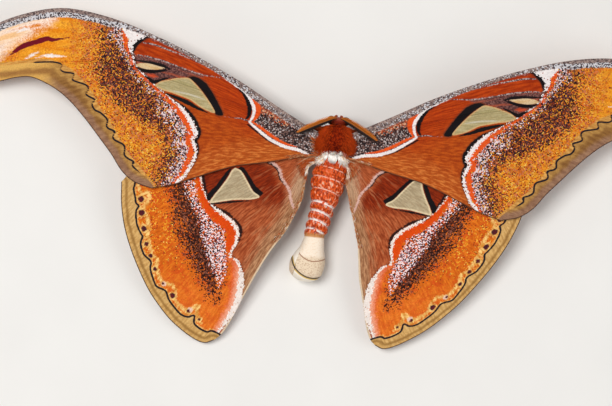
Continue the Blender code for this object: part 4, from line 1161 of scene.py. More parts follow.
PLATE_EDGE = (
    (-8.6, -31.0), (-9.3, -34.7), (-8.2, -38.8), (-5.0, -41.6), (-1.2, -42.4), (2.4, -41.0), (4.2, -38.0)
)
# Relief of the bare last segments: its height, how far from the drawn line it lies, and its width.
PLATE_RIM = (0.35, 0.9, 0.6)
PLATE_GROOVE = (0.3, 0.0, 0.35)
PLATE_CREASE = (0.12, 0.0, 0.25)
PLATE_START = -29.5       # the y where this relief begins
PLATE_SIDES = 3           # how steeply it fades down the flanks
UNDER_PLATE = 6.0         # on the underside the thin line counts as further off by up to this
SKIN_SHORTER = (0.3, 0.02)      # how far inside the table's two ends the skin closes
BODY_GRID = (330, 112)
FRAME_STEP = 0.05         # a small step along and round the body, to feel which way its skin faces


def ring_gap(y, angle):
    """Distance to the nearest ring of the abdomen, in mm along the body."""
    leaned = y + RING_LEAN * (1 - np.sin(angle)) + RING_TILT * np.cos(angle)
    return np.min([np.abs(leaned - ring) for ring in SEGMENT_RINGS], axis=0)


def plate_lines(x, y, angle):
    """Distances on the bare last segments to the thin line and to the raised rim, on the upper side."""
    spots = np.stack([x, y], -1)
    under = UNDER_PLATE * np.clip(0.1 - np.sin(angle), 0, 1)
    line, _ = nearest(spots, rounded(PLATE_LINE))
    edge = beyond(spots, rounded(PLATE_EDGE), (-0.2, -1.0))
    return line + under, edge


def body_point(y, angle):
    """A point of the skin: an oval ring at y, reaching (|cos|^n + |sin|^n)^(-1/n); n is higher where boxy."""
    y, angle = np.broadcast_arrays(np.asarray(y, float), angle)
    x, z, wide, high, depth = np.moveaxis(smooth(BODY[::-1], y), -1, 0)
    n = smooth(SQUARENESS, y)[..., 0]
    cos, sin = np.cos(angle), np.sin(angle)
    reach = (np.abs(cos) ** n + np.abs(sin) ** n) ** (-1 / n)
    first, last = SWELLS_BETWEEN
    on_abdomen = np.clip((first - y) / SWELLS_FADE, 0, 1) * np.clip((y - last) / SWELLS_FADE, 0, 1)
    gap = ring_gap(y, angle)
    lift = SEGMENT_SWELL * np.clip(gap / SEGMENT_SHOULDER, 0, 1) - RING_DEPTH * bell(gap, RING_WIDTH)
    grown = on_abdomen * lift - depth
    return np.stack([x + (wide + grown) * reach * cos, y, z + (high + grown) * reach * sin], -1)


def body_frame(y, angle):
    """The point of the skin with its outward normal and its direction back along the body."""
    point = body_point(y, angle)
    back = unit(body_point(y - FRAME_STEP, angle) - point)
    around = body_point(y, angle + FRAME_STEP) - point
    return point, unit(np.cross(around, back)), back


def tube_unwrap(rows, columns):
    """The unwrap of a closed tube, corner by corner: first of its four-sided faces, then of its two ends."""
    chart = chart_share(np.stack(np.broadcast_arrays(*shares(rows, columns + 1)), -1))
    cells = np.stack([chart[:-1, :-1], chart[:-1, 1:], chart[1:, 1:], chart[1:, :-1]], 2)
    outward = (0.9 * CHART_EDGE, 0)
    first = np.stack([chart[0, 1:], chart[0, :-1], chart[0, :-1] - outward], 1)
    last = np.stack([chart[-1, :-1], chart[-1, 1:], chart[-1, 1:] + outward], 1)
    return cells.reshape(-1, 4, 2)[:, ::-1], np.concatenate([first, last])


def ridge(distance, height, place, width):
    """The height of a rounded ridge whose top lies at a given distance from a line."""
    return height * bell(distance - place, width)


def body_skin():
    """The closed skin: rings of body_point, drawn together at each end."""
    rows, columns = BODY_GRID
    front, last = BODY[0][0] - SKIN_SHORTER[0], BODY[-1][0] + SKIN_SHORTER[1]
    y = np.linspace(front, last, rows)[:, None]
    angle = np.linspace(0, 2 * math.pi, columns, endpoint=False)[None]
    points = body_point(y, angle)
    line, edge = plate_lines(points[..., 0], points[..., 1], angle)
    tip = np.clip(PLATE_START - y, 0, 1) * np.clip(PLATE_SIDES * np.sin(angle), 0, 1)
    points[..., 2] += tip * (ridge(edge, *PLATE_RIM) - ridge(edge, *PLATE_GROOVE)
                             - ridge(line, *PLATE_CREASE))
    points[..., 2] = np.maximum(points[..., 2], 0.0)
    ends = points[[0, -1]].mean(axis=1)
    along_y, round_it = np.broadcast_arrays(y, angle)
    values = {"along": along_y, "back": np.sin(round_it), "flank": np.cos(round_it),
              "ring": ring_gap(along_y, round_it), "plate_line": line, "plate_edge": edge}
    values = {key: np.append(value.ravel(), [value[0, 0], value[-1, 0]]) for key, value in values.items()}
    values["shade"] = np.full(rows * columns + 2, 0.4)
    corners_uv = np.concatenate([part.reshape(-1, 2) for part in tube_unwrap(rows, columns)])
    return new_piece("moth_skin", np.vstack([points.reshape(-1, 3), ends]), tube_faces(rows, columns),
                     values, corners_uv)

# %% [markdown]
# ## Colours of the body
#
# Skin and fur carry the same markings, so one function of the place on the body colours both: a
# dark red thorax with orange flanks and a rust-orange abdomen with white rings. The skin alone also
# gets the bare, cream last segments with their fine lines.

# %% One recipe for skin and fur
def body_colour(m):
    """The body's colour from the place, the nearest ring and the tuft's own shade, and the place in mm."""
    along_y, back, flank, ring = m.read("along"), m.read("back"), m.read("flank"), m.read("ring")
    shade = m.read("shade")
    spots = m.node("VectorMath", {"operation": "SCALE"}, {0: m.place(), 3: 1 / MM})
    cloud = m.noise(spots, 0.8, 2)
    side = m.unsigned(flank)
    grain = m.noise(spots, 1.5, 2)
    mottled = grain + (shade - 0.5) * 0.3 + (cloud - 0.5) * 0.5
    thorax = m.blend(paint(112, 20, 6), paint(206, 64, 14), m.above(mottled, 0.52, 0.12))
    face = m.blend(paint(150, 48, 26), paint(214, 124, 104), m.above(along_y, 10.1, 0.3))
    thorax = m.layers(thorax, [
        (paint(216, 80, 22), m.above(side + (shade - 0.5) * 0.5, 0.45, 0.2)),
        (face, m.above(along_y, 8.9, 0.4))])
    abdomen = m.pick(shade, (0.5, paint(236, 88, 6)), (0.28, paint(210, 66, 2)), (0.22, paint(250, 138, 44)))
    drawn_out = m.node("VectorMath", {"operation": "MULTIPLY"}, {0: spots, 1: (1.3, 0.6, 1.3)})
    blotches = m.noise(drawn_out, 1.1, 3) + (shade - 0.5) * 0.12
    flecks = (1 - m.above(blotches, 0.38, 0.04)) * (1 - m.above(along_y, -8.0, 3.0))
    thin = (1 - m.above(ring + (shade - 0.5) * 0.3, 0.2, 0.1)) * m.above(cloud, 0.45, 0.05)
    arcs = (1 - m.above(ring + (shade - 0.5) * 0.3, 0.38, 0.12)) * m.above(cloud, 0.4, 0.05)
    first = m.above(along_y, -5.3, 0.3)
    plain = m.blend(paint(218, 84, 14), paint(188, 58, 8), m.above(grain, 0.5, 0.1))
    under = m.blend(paint(150, 74, 50), paint(222, 190, 170), m.above(cloud + shade * 0.3, 0.6, 0.1))
    abdomen = m.layers(abdomen, [
        (paint(146, 40, 12), m.above(blotches, 0.54, 0.07) * 0.85),
        (paint(246, 204, 172), flecks * 0.8),
        (paint(240, 184, 160), thin * m.above(along_y, -15.0, 1.0)),
        (paint(246, 230, 222), arcs * m.above(0 - along_y, 15.6, 0.5)),
        (plain, first),
        (paint(206, 142, 84), m.above(0 - along_y, 27.6, 0.4)),
        (under, m.above(0 - back, 0.55, 0.2))])
    return m.blend(abdomen, thorax, m.above(along_y, -0.8, 0.2)), spots


def bare_segments(m, colour, spots):
    """The cream last segments laid over a colour, with their thin line and their raised rim."""
    line, edge, along_y = m.read("plate_line"), m.read("plate_edge"), m.read("along")
    grain = m.noise(spots, *SKIN_GRAIN)
    plate = m.blend(paint(248, 230, 208), paint(240, 212, 180), m.above(grain, 0.6, 0.12))
    outside = m.blend(paint(232, 208, 176), paint(196, 160, 124), m.above(grain, 0.56, 0.1))
    plate = m.blend(plate, outside, m.above(0 - along_y, 35.4, 0.6) * 0.8)
    plate = m.blend(paint(156, 104, 72), plate, m.above(line, 0.16, 0.1))
    rim = m.blend(paint(214, 176, 88), paint(250, 238, 220), m.above(edge, 0.55, 0.15))
    plate = m.blend(plate, rim, m.above(edge, 0.2, 0.08))
    plate = m.blend(paint(52, 30, 20), plate, m.above(m.unsigned(edge), 0.2, 0.1))
    return m.blend(colour, plate, m.above(0 - along_y, 28.9, 0.3))


SKIN_GRAIN = (2.2, 3)     # how fine the noise of the bare skin is, and its detail
SKIN_RELIEF = 0.0001      # in metres


def skin_finish():
    """The body's colour on the bare skin."""
    m = Finish("moth skin", Roughness=0.6, Specular_IOR_Level=0.4)
    colour, spots = body_colour(m)
    m.base(bare_segments(m, colour, spots))
    m.bump(m.noise(spots, *SKIN_GRAIN), SKIN_RELIEF)
    return m


dress(body_skin(), skin_finish(), "thorax", "head", "thorax", "abdomen", "abdomen_tip")

# %% [markdown]
# ## Fur as solid tufts
#
# A moth's fur is thousands of fine hairs that lean back along the body. Particle hair would be
# lost when the model is exported, so each tuft is a thin three-sided spike of its own, and all
# tufts of one coat are one mesh. Their roots are scattered evenly with a fixed seed.

# %% Spikes and coats
rng = np.random.default_rng(7)
ROOT_SUNK = 0.12          # a tuft starts this far under the skin, so that no gap shows
STRAY_SIDEWAYS = 0.25     # how much the directions of the body's tufts differ
STRAY_UP = 0.08
FLARE_START = 0.4         # the flare begins where the skin faces sideways by this share
FLARE_RISE = 0.3          # and is full this much further round
FLARE_OUT = 0.8           # how far it turns the tufts outward
FLARE_LONGER = 0.75       # and how much longer it makes them
TUFT_UV = 0.0015          # half the size of a tuft's patch on the unwrapped skin
TUFT_REACH = (0, 0, 0, 0.5, 0.5, 0.5, 1)      # how far toward the tip each point of a tuft lies


def spikes(roots, lean, up, length, half_width, droop=0.25, flat=0.45, middle=0.45):
    """Tapered spikes, each a three-sided ring at its root and near its middle and a point at its tip.

    The middle line is root + length * (f * lean - droop * f^2 * up). The rings shrink toward the tip.
    """
    count, lean = len(roots), unit(lean)
    across = unit(np.cross(lean, up))
    over = np.cross(lean, across)
    length, half_width = (np.broadcast_to(value, count)[:, None] for value in (length, half_width))
    turn = np.arange(3) * 2 * math.pi / 3
    layers = []
    for f, size in ((0.0, 1.0), (middle, 0.8)):
        centre = roots + length * (f * lean - droop * f * f * up)
        reach = half_width * size
        layers += [centre + reach * (math.cos(a) * across + flat * math.sin(a) * over) for a in turn]
    layers.append(roots + length * (lean - droop * up))
    return np.stack(layers, 1)


def spike_faces(count):
    """Corner numbers of a number of spikes of seven points each."""
    start = len(TUFT_REACH) * np.arange(count)[:, None, None]
    quads = np.array([(0, 1, 4, 3), (1, 2, 5, 4), (2, 0, 3, 5)])
    tips = np.array([(3, 4, 6), (4, 5, 6), (5, 3, 6), (2, 1, 0)])
    return [(start + quads).reshape(-1, 4), (start + tips).reshape(-1, 3)]


def patches(spots_uv):
    """The unwrap of tufts, point by point: each a small patch at its root's place on the skin's unwrap."""
    offset = np.array([(-1, -1), (0, -1.3), (1, -1), (-0.8, 0), (0, -0.2), (0.8, 0), (0, 1)]) * TUFT_UV
    return (np.asarray(spots_uv)[:, None] + offset).reshape(-1, 2)


def tufts(points, spots_uv):
    """Spikes as one part of a joined piece, with their patches at given places of its unwrap."""
    quads, triangles = spike_faces(len(points))
    chart = patches(spots_uv)
    return points.reshape(-1, 3), quads, triangles, chart[quads], chart[triangles]


def tuft_values(count, values):
    """Each tuft's values for all its points, and how far toward the tip each point lies."""
    spread = {key: np.repeat(np.broadcast_to(value, count), len(TUFT_REACH)) for key, value in values.items()}
    return {**spread, "reach": np.tile(TUFT_REACH, count)}


def joined(name, parts, values):
    """One mesh from several sets of points, faces and their unwrap, with a value for each part."""
    points, quads, triangles, start = [], [], [], 0
    marks = {key: [] for key in values[0]}
    for (part, four, three, _, _), given in zip(parts, values):
        points.append(part)
        quads.append(four + start)
        triangles.append(three + start)
        start += len(part)
        for key, value in given.items():
            marks[key].append(np.broadcast_to(value, len(part)))
    corners_uv = np.concatenate([part[i].reshape(-1, 2) for i in (3, 4) for part in parts])
    return new_piece(name, np.vstack(points), [np.vstack(quads), np.vstack(triangles)],
                     {key: np.concatenate(value) for key, value in marks.items()}, corners_uv)


def coat(name, spots_uv, points, values):
    """A coat's mesh: nothing but tufts."""
    return joined(name, [tufts(points, spots_uv)], [tuft_values(len(points), values)])


def scatter(count, front, back):
    """Random places all round the body, spread evenly over its area between two values of y."""
    y = rng.uniform(back, front, 4 * count)
    size = smooth(BODY[::-1], y)[:, 2]
    keep = rng.uniform(0, size.max(), len(y)) < size
    y = y[keep][:count]
    return y, rng.uniform(-math.pi / 2, 1.5 * math.pi, len(y))


def body_chart(y, angle):
    """Where a place on the body lies on the skin's unwrap."""
    share = (BODY[0][0] - y) / (BODY[0][0] - BODY[-1][0])
    return chart_share(np.stack([share, angle / (2 * math.pi) % 1.0], -1))


def body_coat(slot, count, front, back, length, lift, half_width, flare):
    """A coat on a stretch of the body: tufts lean back and rise from the skin by the lift, in radians.

    With a flare, the tufts on the flanks are longer and lean outward over the wings.
    """
    y, angle = scatter(count, front, back)
    root, normal, behind = body_frame(y, angle)
    sideways = np.cross(normal, behind)
    lean = (math.cos(lift) * behind + math.sin(lift) * normal
            + rng.normal(0, STRAY_SIDEWAYS, len(y))[:, None] * sideways
            + rng.normal(0, STRAY_UP, len(y))[:, None] * normal)
    flank = flare * np.clip((np.abs(np.cos(angle)) - FLARE_START) / FLARE_RISE, 0, 1)
    lean[:, 0] += FLARE_OUT * flank * np.sign(np.cos(angle))
    size = rng.uniform(0.75, 1.2, len(y)) * (1 + FLARE_LONGER * flank)
    points = spikes(root - ROOT_SUNK * normal, lean, normal, length * size,
                    half_width * rng.uniform(0.7, 1.2, len(y)))
    values = {"along": y, "back": np.sin(angle), "flank": np.cos(angle), "ring": ring_gap(y, angle),
              "shade": rng.uniform(0, 1, len(y))}
    dress(coat(f"moth_fur_{slot}", body_chart(y, angle), points, values), body_fur, slot)


def fur_finish(name, recipe, painted_root_brightness=0.72):
    """Fur: the recipe's colour, with painted shade at the roots and painted light at the tips."""
    m = Finish(name, Roughness=0.7, Specular_IOR_Level=0.08)
    reach = m.read("reach")
    # Painted shade darkens each tuft toward its root, and painted light brightens it toward its tip.
    m.base(m.dim(recipe(m), painted_root_brightness + reach * 0.4))
    m.plug(m.shader.inputs["Roughness"], 0.8 - reach * 0.2)
    return m


body_fur = fur_finish("body fur", lambda m: body_colour(m)[0])
# Which part, how many tufts, from which y back to which, their length, lift and half width, and the flare.
BODY_COATS = (
    ("thorax", 18000, 8.9, -0.9, 2.1, 0.6, 0.13, 1.0),
    ("head", 3200, 11.0, 8.7, 0.8, 0.6, 0.08, 0.0),
    ("abdomen", 17000, -0.9, -28.4, 1.0, 0.22, 0.11, 0.0),
)
for row in BODY_COATS:
    body_coat(*row)

# %% [markdown]
# ## Collar and the hair at the wing roots
#
# Behind the thorax lies a white collar of longer hair in three clumps, and cream hair runs from it
# out over the roots of the wings. These tufts are long enough to be seen one by one, so they are
# fewer, wider and more bent, and each clump's tufts lean toward its middle.

# %% Collar
COLLAR_CLUMPS = (-2.3, 0.8, 4.0)
# How many tufts, over which stretch of y, on which side of the top and how far round from it, how they
# lean back and out, how much they stray, how strongly they lean to their clump, how long and wide they
# are, how they droop and flatten, what share of them is tan, and the least shade.
COLLAR = (3600, (-2.0, 0.6), -1, (-1.0, 1.0), (0.95, 0.4), 0.1, 0.22, (2.2, 3.1), (0.18, 0.3), (0.15, 0.25),
          0.06, 0.5)
BESIDE = ((0.6, 1.2), (0.7, 0.7), 0.2, 0.0, (2.0, 3.8), (0.1, 0.22), (0.3, 0.45), 0.3, 0.3)
LONG_COATS = (("moth_fur_collar", *COLLAR),
              *((f"moth_fur_beside_collar_{word}", 700, (-3.4, 0.3), side, *BESIDE) for side, word in SIDES))


def pale_fur(m):
    """Cream where the tuft's own hue is 0, tan at one half, rust at 1."""
    shade, hue = m.read("shade"), m.read("hue")
    cream = m.blend(paint(230, 204, 174), paint(254, 249, 242), m.above(shade, 0.35, 0.3))
    tan = m.blend(paint(176, 122, 78), paint(222, 176, 126), shade)
    rust = m.blend(paint(150, 58, 22), paint(210, 100, 46), shade)
    return m.blend(m.blend(cream, tan, m.above(hue, 0.25, 0.15)), rust, m.above(hue, 0.75, 0.15))


# Cream fur gets no painted shade at its roots, but its tips still take painted light.
cream_fur = fur_finish("cream fur", pale_fur, painted_root_brightness=1.0)
for name, count, stretch, side, turn, (back, out), stray, pull, long, wide, bend, tan, least in LONG_COATS:
    y = rng.uniform(*stretch, count)
    angle = math.pi / 2 - side * rng.uniform(*turn, count)
    root, normal, behind = body_frame(y, angle)
    clump = np.array(COLLAR_CLUMPS)[np.abs(root[:, :1] - COLLAR_CLUMPS).argmin(1)]
    lean = back * behind + out * normal + rng.normal(0, stray, (count, 3))
    lean[:, 0] += pull * (clump - root[:, 0])
    points = spikes(root, lean, normal, rng.uniform(*long, count), rng.uniform(*wide, count), *bend)
    hue = (rng.uniform(0, 1, count) < tan) * 0.5
    shade = rng.uniform(least, 1, count)
    dress(coat(name, body_chart(y, angle), points, {"shade": shade, "hue": hue}), cream_fur, "thorax")


# %% Hair on the wing roots and along the inner edges
UP = np.array([0.0, 0.0, 1.0])
HAIR_ABOVE = 0.2          # the hair starts this far above the middle of the sheet


def wing_places(place, side, below, s, t):
    """Points just above a wing at shares s and t, with the direction outward along it."""
    rows, columns = place.shape[:2]
    i = np.minimum((s * (rows - 1)).astype(int), rows - 2)
    j = np.minimum((t * (columns - 1)).astype(int), columns - 2)
    here, ahead = (np.stack([side * u, v, wing_height(u, v) - below + HAIR_ABOVE], -1)
                   for u, v in (place[i, j].T, place[i + 1, j].T))
    return here, unit(ahead - here)


# Which wing, how many tufts, between which shares along and across it, their length, lift, and hue.
ROOT_HAIR = (
    ("fore", 420, (0.0, 0.05), (0.3, 1.0), 2.6, 0.35, 0.9),
    ("fore", 260, (0.03, 0.2), (0.94, 1.0), 1.8, 0.1, 0.8),
    ("hind", 1100, (0.0, 0.12), (0.3, 1.0), 3.0, 0.22, 0.95),
    ("hind", 420, (0.0, 0.1), (0.9, 1.0), 2.6, 0.3, 0.2),
    ("hind", 420, (0.08, 0.45), (0.94, 1.0), 1.6, 0.1, 0.6),
)
for side, word in SIDES:
    made = []
    for kind, count, (s_low, s_high), (t_low, t_high), long, lift, hue in ROOT_HAIR:
        place, below = fore_place(fore_plan, word), 0.0
        if kind == "hind":
            place, below = hind_place(hind_plan, word), HINDWING_BELOW
        s, t = rng.uniform(s_low, s_high, count), rng.uniform(t_low, t_high, count)
        root, lean = wing_places(place, side, below, s, t)
        lean = lean + lift * UP + rng.normal(0, 0.16, (count, 3)) * (1, 1, 0.3)
        points = spikes(root, lean, UP, long * rng.uniform(0.6, 1.15, count),
                        rng.uniform(0.05, 0.1, count), droop=0.28)
        made.append((points, rng.uniform(0.0, 0.9, count), np.clip(hue + rng.normal(0, 0.25, count), 0, 1),
                     np.stack([s, t], -1)))
    points, shades, hues, places = (np.concatenate(column) for column in zip(*made))
    hair = coat(f"moth_hair_wing_roots_{word}", chart_share(places), points, {"shade": shades, "hue": hues})
    dress(hair, cream_fur, "forewing")

# %% [markdown]
# ## Antennae, palps and eyes
#
# An atlas moth's antenna is a narrow feather: a stem with four rows of fine rays, two to each
# side at every joint. A flat feather shape with a picture of rays would do from far away. The
# rays are cheap as spikes, though, and then the antenna is right from every side.

# %% Antennae
FUR_SUNK = 0.9            # the tufts of palps and legs start at this share of the tube's radius
FUR_HALF_WIDTH = 0.07
FUR_LOWEST = 0.02
ANTENNA_PATH = ((0.7, 10.0, 12.0), (1.3, 10.4, 14.4), (4.0, 9.2, 16.6), (8.0, 7.0, 17.9), (12.8, 4.3, 18.3))
ANTENNA_JOINTS = 62
STEM_RADIUS = 0.3
STEM_TAPER = 0.6          # the stem is thinner by this share at its tip
JOINT_SWELL = 0.12
COMB_START = 0.13
COMB_TILT = math.radians(40)
RAY_LENGTH = 2.09
RAY_HALF_WIDTH = 0.085
RAY_SHAPE = ((0.0, 0.3), (0.15, 0.72), (0.5, 1.0), (0.8, 0.85), (1.0, 0.3))
RAY_SLANT = 0.5
RAY_SPLAY = math.radians(11)
ANTENNA_RELIEF = 0.00003  # in metres


def path_frame(path):
    """Along a path: the direction it runs in, a level direction across it, and one that rises from it."""
    ahead = unit(np.gradient(path, axis=0))
    level = unit(np.cross(ahead, UP))
    return ahead, level, np.cross(level, ahead)


def tube(path, radii, sides):
    """Rings round a path, each a circle across it; the ends close on a point. The unwrap comes last."""
    _, level, rise = path_frame(path)
    turn = np.arange(sides) * 2 * math.pi / sides
    ring = np.cos(turn)[None, :, None] * level[:, None] + np.sin(turn)[None, :, None] * rise[:, None]
    points = (path[:, None] + np.asarray(radii)[:, None, None] * ring).reshape(-1, 3)
    points = np.vstack([points, path[:1], path[-1:]])
    return points, *tube_faces(len(path), sides), *tube_unwrap(len(path), sides)


def mirrored(path, side, middle):
    """A path given from the middle line outward, laid on one side of the moth."""
    return np.array(path, float) * (side, 1, 1) + (middle, 0, 0)


def furred_tube(name, path, radii, marks, count, lengths, sides, bare_rows, slant, **by_row):
    """A tube under a coat of tufts that lean along it and rise from it by the slant.

    The tufts stand all over it but on its last rows, and nothing reaches below the floor. The marks are the
    tube's own values. The tufts' lengths and their further values are given row by row.
    """
    core = tube(path, radii, sides)
    pick = rng.integers(0, len(path) - bare_rows, count)
    turn = rng.uniform(0, 2 * math.pi, count)
    ahead, level, rise = (axis[pick] for axis in path_frame(path))
    out = np.cos(turn)[:, None] * level + np.sin(turn)[:, None] * rise
    fur = spikes(path[pick] + FUR_SUNK * radii[pick][:, None] * out, ahead + slant * out, out, lengths[pick],
                 FUR_HALF_WIDTH)
    fur = tufts(fur, np.stack([pick / (len(path) - 1), turn / (2 * math.pi)], -1))
    values = {"shade": rng.uniform(0, 1, count), **{key: value[pick] for key, value in by_row.items()}}
    for points, lowest in ((core[0], 0.0), (fur[0], FUR_LOWEST)):
        points[:, 2] = np.maximum(points[:, 2], lowest)
    return joined(name, [core, fur], [marks, tuft_values(count, values)])


HEAD_MIDDLE = 1.45


def antenna_finish():
    """Golden brown, with painted shade: black on the rear rays and partly dark on the stem."""
    m = Finish("antenna", Roughness=0.55, Specular_IOR_Level=0.4)
    fine = m.noise(m.place(), 1800.0, 2)
    brown = m.blend(paint(190, 92, 14), paint(232, 142, 40), fine)
    m.base(m.blend(brown, paint(30, 16, 10), m.read("rear_side")))
    m.bump(fine, ANTENNA_RELIEF)
    return m


golden = antenna_finish()
for side, word in SIDES:
    path = along(mirrored(ANTENNA_PATH, side, HEAD_MIDDLE), np.linspace(0, 1, 2 * ANTENNA_JOINTS + 1))
    share = np.linspace(0, 1, len(path))
    swell = 1 + JOINT_SWELL * np.cos(2 * math.pi * ANTENNA_JOINTS * share)
    parts = [tube(path, STEM_RADIUS * (1 - STEM_TAPER * share) * swell, sides=8)]
    # The stem is painted about a third of the way to black, as shade.
    marks = [{"rear_side": 0.35}]
    ahead, _, _ = path_frame(path)
    on = share > COMB_START
    comb = (share[on] - COMB_START) / (1 - COMB_START)
    for way, splay in ((1, 1), (1, -1), (-1, 1), (-1, -1)):
        tilt = COMB_TILT + way * splay * RAY_SPLAY
        reach = way * np.array((0.0, -math.cos(tilt), -math.sin(tilt)))
        across = unit(reach - (ahead[on] @ reach)[:, None] * ahead[on])
        rays = spikes(path[on], across + RAY_SLANT * ahead[on], -ahead[on],
                      RAY_LENGTH * smooth(RAY_SHAPE, comb)[:, 0], RAY_HALF_WIDTH, droop=0.1, flat=1.0)
        row = np.full(on.sum(), 0.5 + 0.3 * way + 0.1 * splay)
        parts.append(tufts(rays, np.stack([share[on], row], -1)))
        # The rear rays are painted black as shade; the front rays stay golden brown.
        marks.append({"rear_side": 1.0 if way > 0 else 0.0})
    dress(joined(f"moth_antenna_{word}", parts, marks), golden, "antenna", f"antenna_{word}")

# %% Palps and eyes
PALP_PATH = ((0.9, 9.2, 8.6), (1.0, 10.2, 8.0), (0.95, 10.9, 8.3), (0.75, 11.35, 9.3))
PALP_RADII = (0.7, 0.8, 0.65, 0.3)
PALP_TUFTS = 420
PALP_FUR_LENGTH = 0.75
PALP_FUR_ROOM = 0.25      # the tube is thinner than the whole palp by this
EYE_PLACE = (2.35, 9.75, 10.9)
EYE_RADIUS = 1.45
EYE_FACETS = 5200.0       # how many lie side by side in a metre
EYE_RELIEF = 0.00004      # in metres
PALP_RINGS = 24


def eye_finish():
    """Nearly black, with fine facets."""
    m = Finish("eye", Roughness=0.36, Coat_Weight=0.05, Coat_Roughness=0.15, Specular_IOR_Level=0.16)
    m.base(m.blend(paint(20, 10, 8), paint(62, 32, 20), m.noise(m.place(), 500.0, 2)))
    m.bump(1 - m.node("TexVoronoi", None, {"Vector": m.place(), "Scale": EYE_FACETS}), EYE_RELIEF)
    return m


def ball(centre, radius, rows=40, columns=64):
    """A sphere: latitude and longitude turned into points, the poles along x."""
    lean = np.linspace(0, math.pi, rows + 2)[1:-1, None]
    turn = np.linspace(0, 2 * math.pi, columns, endpoint=False)[None]
    grid = np.stack([-np.cos(lean) + 0 * turn, np.sin(lean) * np.cos(turn), np.sin(lean) * np.sin(turn)], -1)
    points = np.vstack([grid.reshape(-1, 3), (-1, 0, 0), (1, 0, 0)]) * radius + centre
    return points, tube_faces(rows, columns)


dark = eye_finish()
palp_fur = fur_finish("palp fur", lambda m: m.blend(paint(190, 84, 50), paint(228, 132, 96), m.read("shade")))
for side, word in SIDES:
    centre = np.array((HEAD_MIDDLE + side * EYE_PLACE[0], *EYE_PLACE[1:]))
    dress(new_piece(f"moth_eye_{word}", *ball(centre, EYE_RADIUS)), dark, "eye", f"eye_{word}")
    share = np.linspace(0, 1, PALP_RINGS)
    path = along(mirrored(PALP_PATH, side, HEAD_MIDDLE), share)
    knots = np.column_stack([np.linspace(0, 1, len(PALP_RADII)), PALP_RADII])
    radii = smooth(knots, share)[:, 0] - PALP_FUR_ROOM
    # The bare palp tube under the fur takes painted shade through its reach of 0.2.
    palp = furred_tube(f"moth_palp_{word}", path, radii, {"shade": 0.3, "reach": 0.2}, PALP_TUFTS,
                       np.full(len(path), PALP_FUR_LENGTH), sides=12, bare_rows=1, slant=0.5)
    dress(palp, palp_fur, "palp", f"palp_{word}")

# %% [markdown]
# ## Legs
#
# The six legs are short and furry: a thigh, a shin and a foot of small beads that ends in two
# claws. Only their feet carry the moth. Each leg is one tube whose radius swells and pinches
# along its path, under a coat of short tufts that all lean toward the foot.

# %% Legs
LEGS_MIDDLE = 1.3
FOOT_Z = 0.46
LEGS = {"front": ((2.6, 5.4, 8.6), (5.4, 6.6, 6.2), (9.4, 7.0, 7.6), (11.3, 6.5, 2.4), (12.0, 6.2, FOOT_Z),
                  (14.0, 5.4, FOOT_Z), (16.4, 4.6, FOOT_Z)),
        "mid": ((3.2, 3.2, 8.4), (7.4, 1.9, 6.0), (13.0, 0.6, 8.2), (16.0, -0.4, 2.6), (16.8, -0.7, FOOT_Z),
                (19.0, -1.4, FOOT_Z), (21.6, -2.0, FOOT_Z)),
        "hind": ((3.2, 0.9, 8.2), (7.2, -2.6, 6.0), (11.0, -7.4, 8.2), (12.9, -11.6, 2.6),
                 (13.4, -12.6, FOOT_Z), (14.6, -14.8, FOOT_Z), (15.6, -17.4, FOOT_Z))}
LEG_RADII = ((0.0, 1.1), (0.17, 1.0), (0.3, 0.62), (0.36, 0.78), (0.5, 0.62), (0.66, 0.36), (1.0, 0.3))
TARSUS = 0.68             # the foot begins at this share of the leg
BEADS = 5
BEAD_SWELL = 0.12
LEG_RINGS = 90
LEG_TUFTS = 1100
LEG_FUR = ((0, 1.5), (0.3, 1.1), (0.62, 0.8), (0.7, 0.42), (1, 0.35))      # how long it is along the leg
CUFF = 0.66               # where the pale band at the end of the shin lies
CUFF_HALF_WIDTH = 0.03
CLAW_ROWS = np.linspace(0, 1, 9)
CLAW_LENGTH = 0.8
CLAW_SPREAD = 0.55
CLAW_RADII = (0.1, 0.03)
CLAW_LOWEST = 0.06


def leg_colour(m):
    """Brown fur with a pale cuff."""
    brown = m.blend(paint(120, 44, 20), paint(196, 96, 44), m.read("shade"))
    return m.blend(brown, paint(232, 196, 160), m.read("cuff"))


def claw_finish():
    """Horn: dark, with brown clouds."""
    m = Finish("claw", Roughness=0.3, Base_Color=paint(40, 22, 14))
    m.base(m.blend(paint(28, 14, 10), paint(96, 52, 28), m.noise(m.place(), 900.0, 2)))
    return m


def leg_radius(share):
    """The leg's radius from its table, with a half wave of the sine for each bead of the foot."""
    wave = np.abs(np.sin(math.pi * BEADS * (share - TARSUS) / (1 - TARSUS)))
    beads = BEAD_SWELL * wave - BEAD_SWELL / 2
    return smooth(LEG_RADII, share)[..., 0] + np.where(share > TARSUS, beads, 0.0)


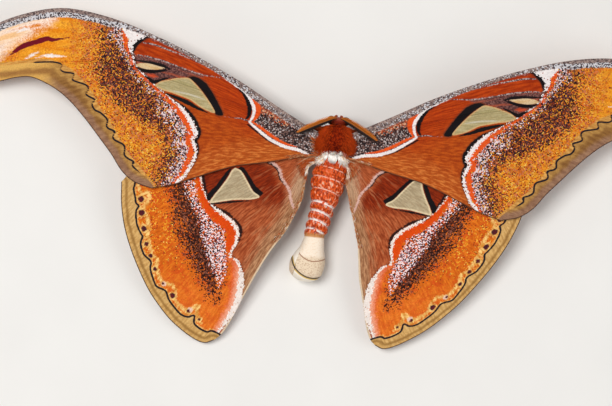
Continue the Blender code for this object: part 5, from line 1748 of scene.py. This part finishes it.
leg_fur = fur_finish("leg fur", leg_colour)
claw_parts = []
for place_word, route in LEGS.items():
    for side, word in SIDES:
        share = np.linspace(0, 1, LEG_RINGS)
        path = along(mirrored(route, side, LEGS_MIDDLE), share)
        cuff = (np.abs(share - CUFF) < CUFF_HALF_WIDTH).astype(float)
        # The bare leg tube under the fur takes painted shade through its reach of 0.3.
        leg = furred_tube(f"moth_leg_{place_word}_{word}", path, leg_radius(share),
                          {"shade": 0.2, "reach": 0.3, "cuff": 0.0}, LEG_TUFTS,
                          smooth(LEG_FUR, share)[:, 0], sides=14, bare_rows=2, slant=0.35, cuff=cuff)
        dress(leg, leg_fur, "leg", f"leg_{place_word}_{word}")
        ahead, _, _ = path_frame(path)
        beside = np.cross(ahead[-1], UP)
        for way in (-1, 1):
            claw_path = path[-1] + np.outer(CLAW_LENGTH * CLAW_ROWS, ahead[-1] + way * CLAW_SPREAD * beside)
            claw_path[:, 2] = FOOT_Z * (1 - CLAW_ROWS ** 2) + CLAW_LOWEST
            claw_parts.append(tube(claw_path, np.interp(CLAW_ROWS, (0, 1), CLAW_RADII), sides=6))
dress(joined("moth_claws", claw_parts, [{}] * len(claw_parts)), claw_finish(), "leg")

# %% [markdown]
# ## Floor and light
#
# A pale floor and large soft lamps show a furry, patterned animal evenly, as a museum case does.
# One hard lamp would bring out the relief but lose the colours in glare.

# %% Floor, lamps and surroundings
FLOOR_HALF = 1.6
floor_mesh = bpy.data.meshes.new("floor")
floor_corners = [(FLOOR_HALF * x, FLOOR_HALF * y, 0) for x, y in ((-1, -1), (1, -1), (1, 1), (-1, 1))]
floor_mesh.from_pydata(floor_corners, [], [(0, 1, 2, 3)])
floor = bpy.data.objects.new("floor", floor_mesh)
bpy.context.scene.collection.objects.link(floor)
m = Finish("pale floor", Roughness=0.85)
m.base(m.blend(paint(232, 229, 224), paint(240, 237, 232), m.noise(m.place(), 30.0, 4)))
floor_mesh.materials.append(m.material)


AIM = (0.0, -0.01, 0.01)      # a place just above the moth's middle, which every lamp faces


def lamp(name, place, size, power):
    """A square lamp at a place in metres, turned to face the moth."""
    data = bpy.data.lights.new(name, "AREA")
    data.size = size
    data.energy = power
    light = bpy.data.objects.new(name, data)
    light.location = place
    back = place - np.array(AIM)       # a lamp shines down its own -z, so its z points back from the aim
    light.rotation_euler = (0, math.acos(back[2] / np.linalg.norm(back)), math.atan2(back[1], back[0]))
    bpy.context.scene.collection.objects.link(light)


lamp("key lamp", (-0.3, 0.12, 0.9), 0.4, 6.5)
lamp("fill lamp", (0.65, -0.1, 0.6), 0.6, 2.0)
lamp("low lamp", (-0.1, -0.8, 0.4), 0.5, 0.9)
world = bpy.data.worlds.new("studio")
bpy.context.scene.world = world
world.use_nodes = True
sky = world.node_tree.nodes["Background"]
sky.inputs["Color"].default_value = (0.9, 0.92, 0.95, 1.0)
sky.inputs["Strength"].default_value = 0.25
bpy.context.scene.view_settings.view_transform = "Standard"
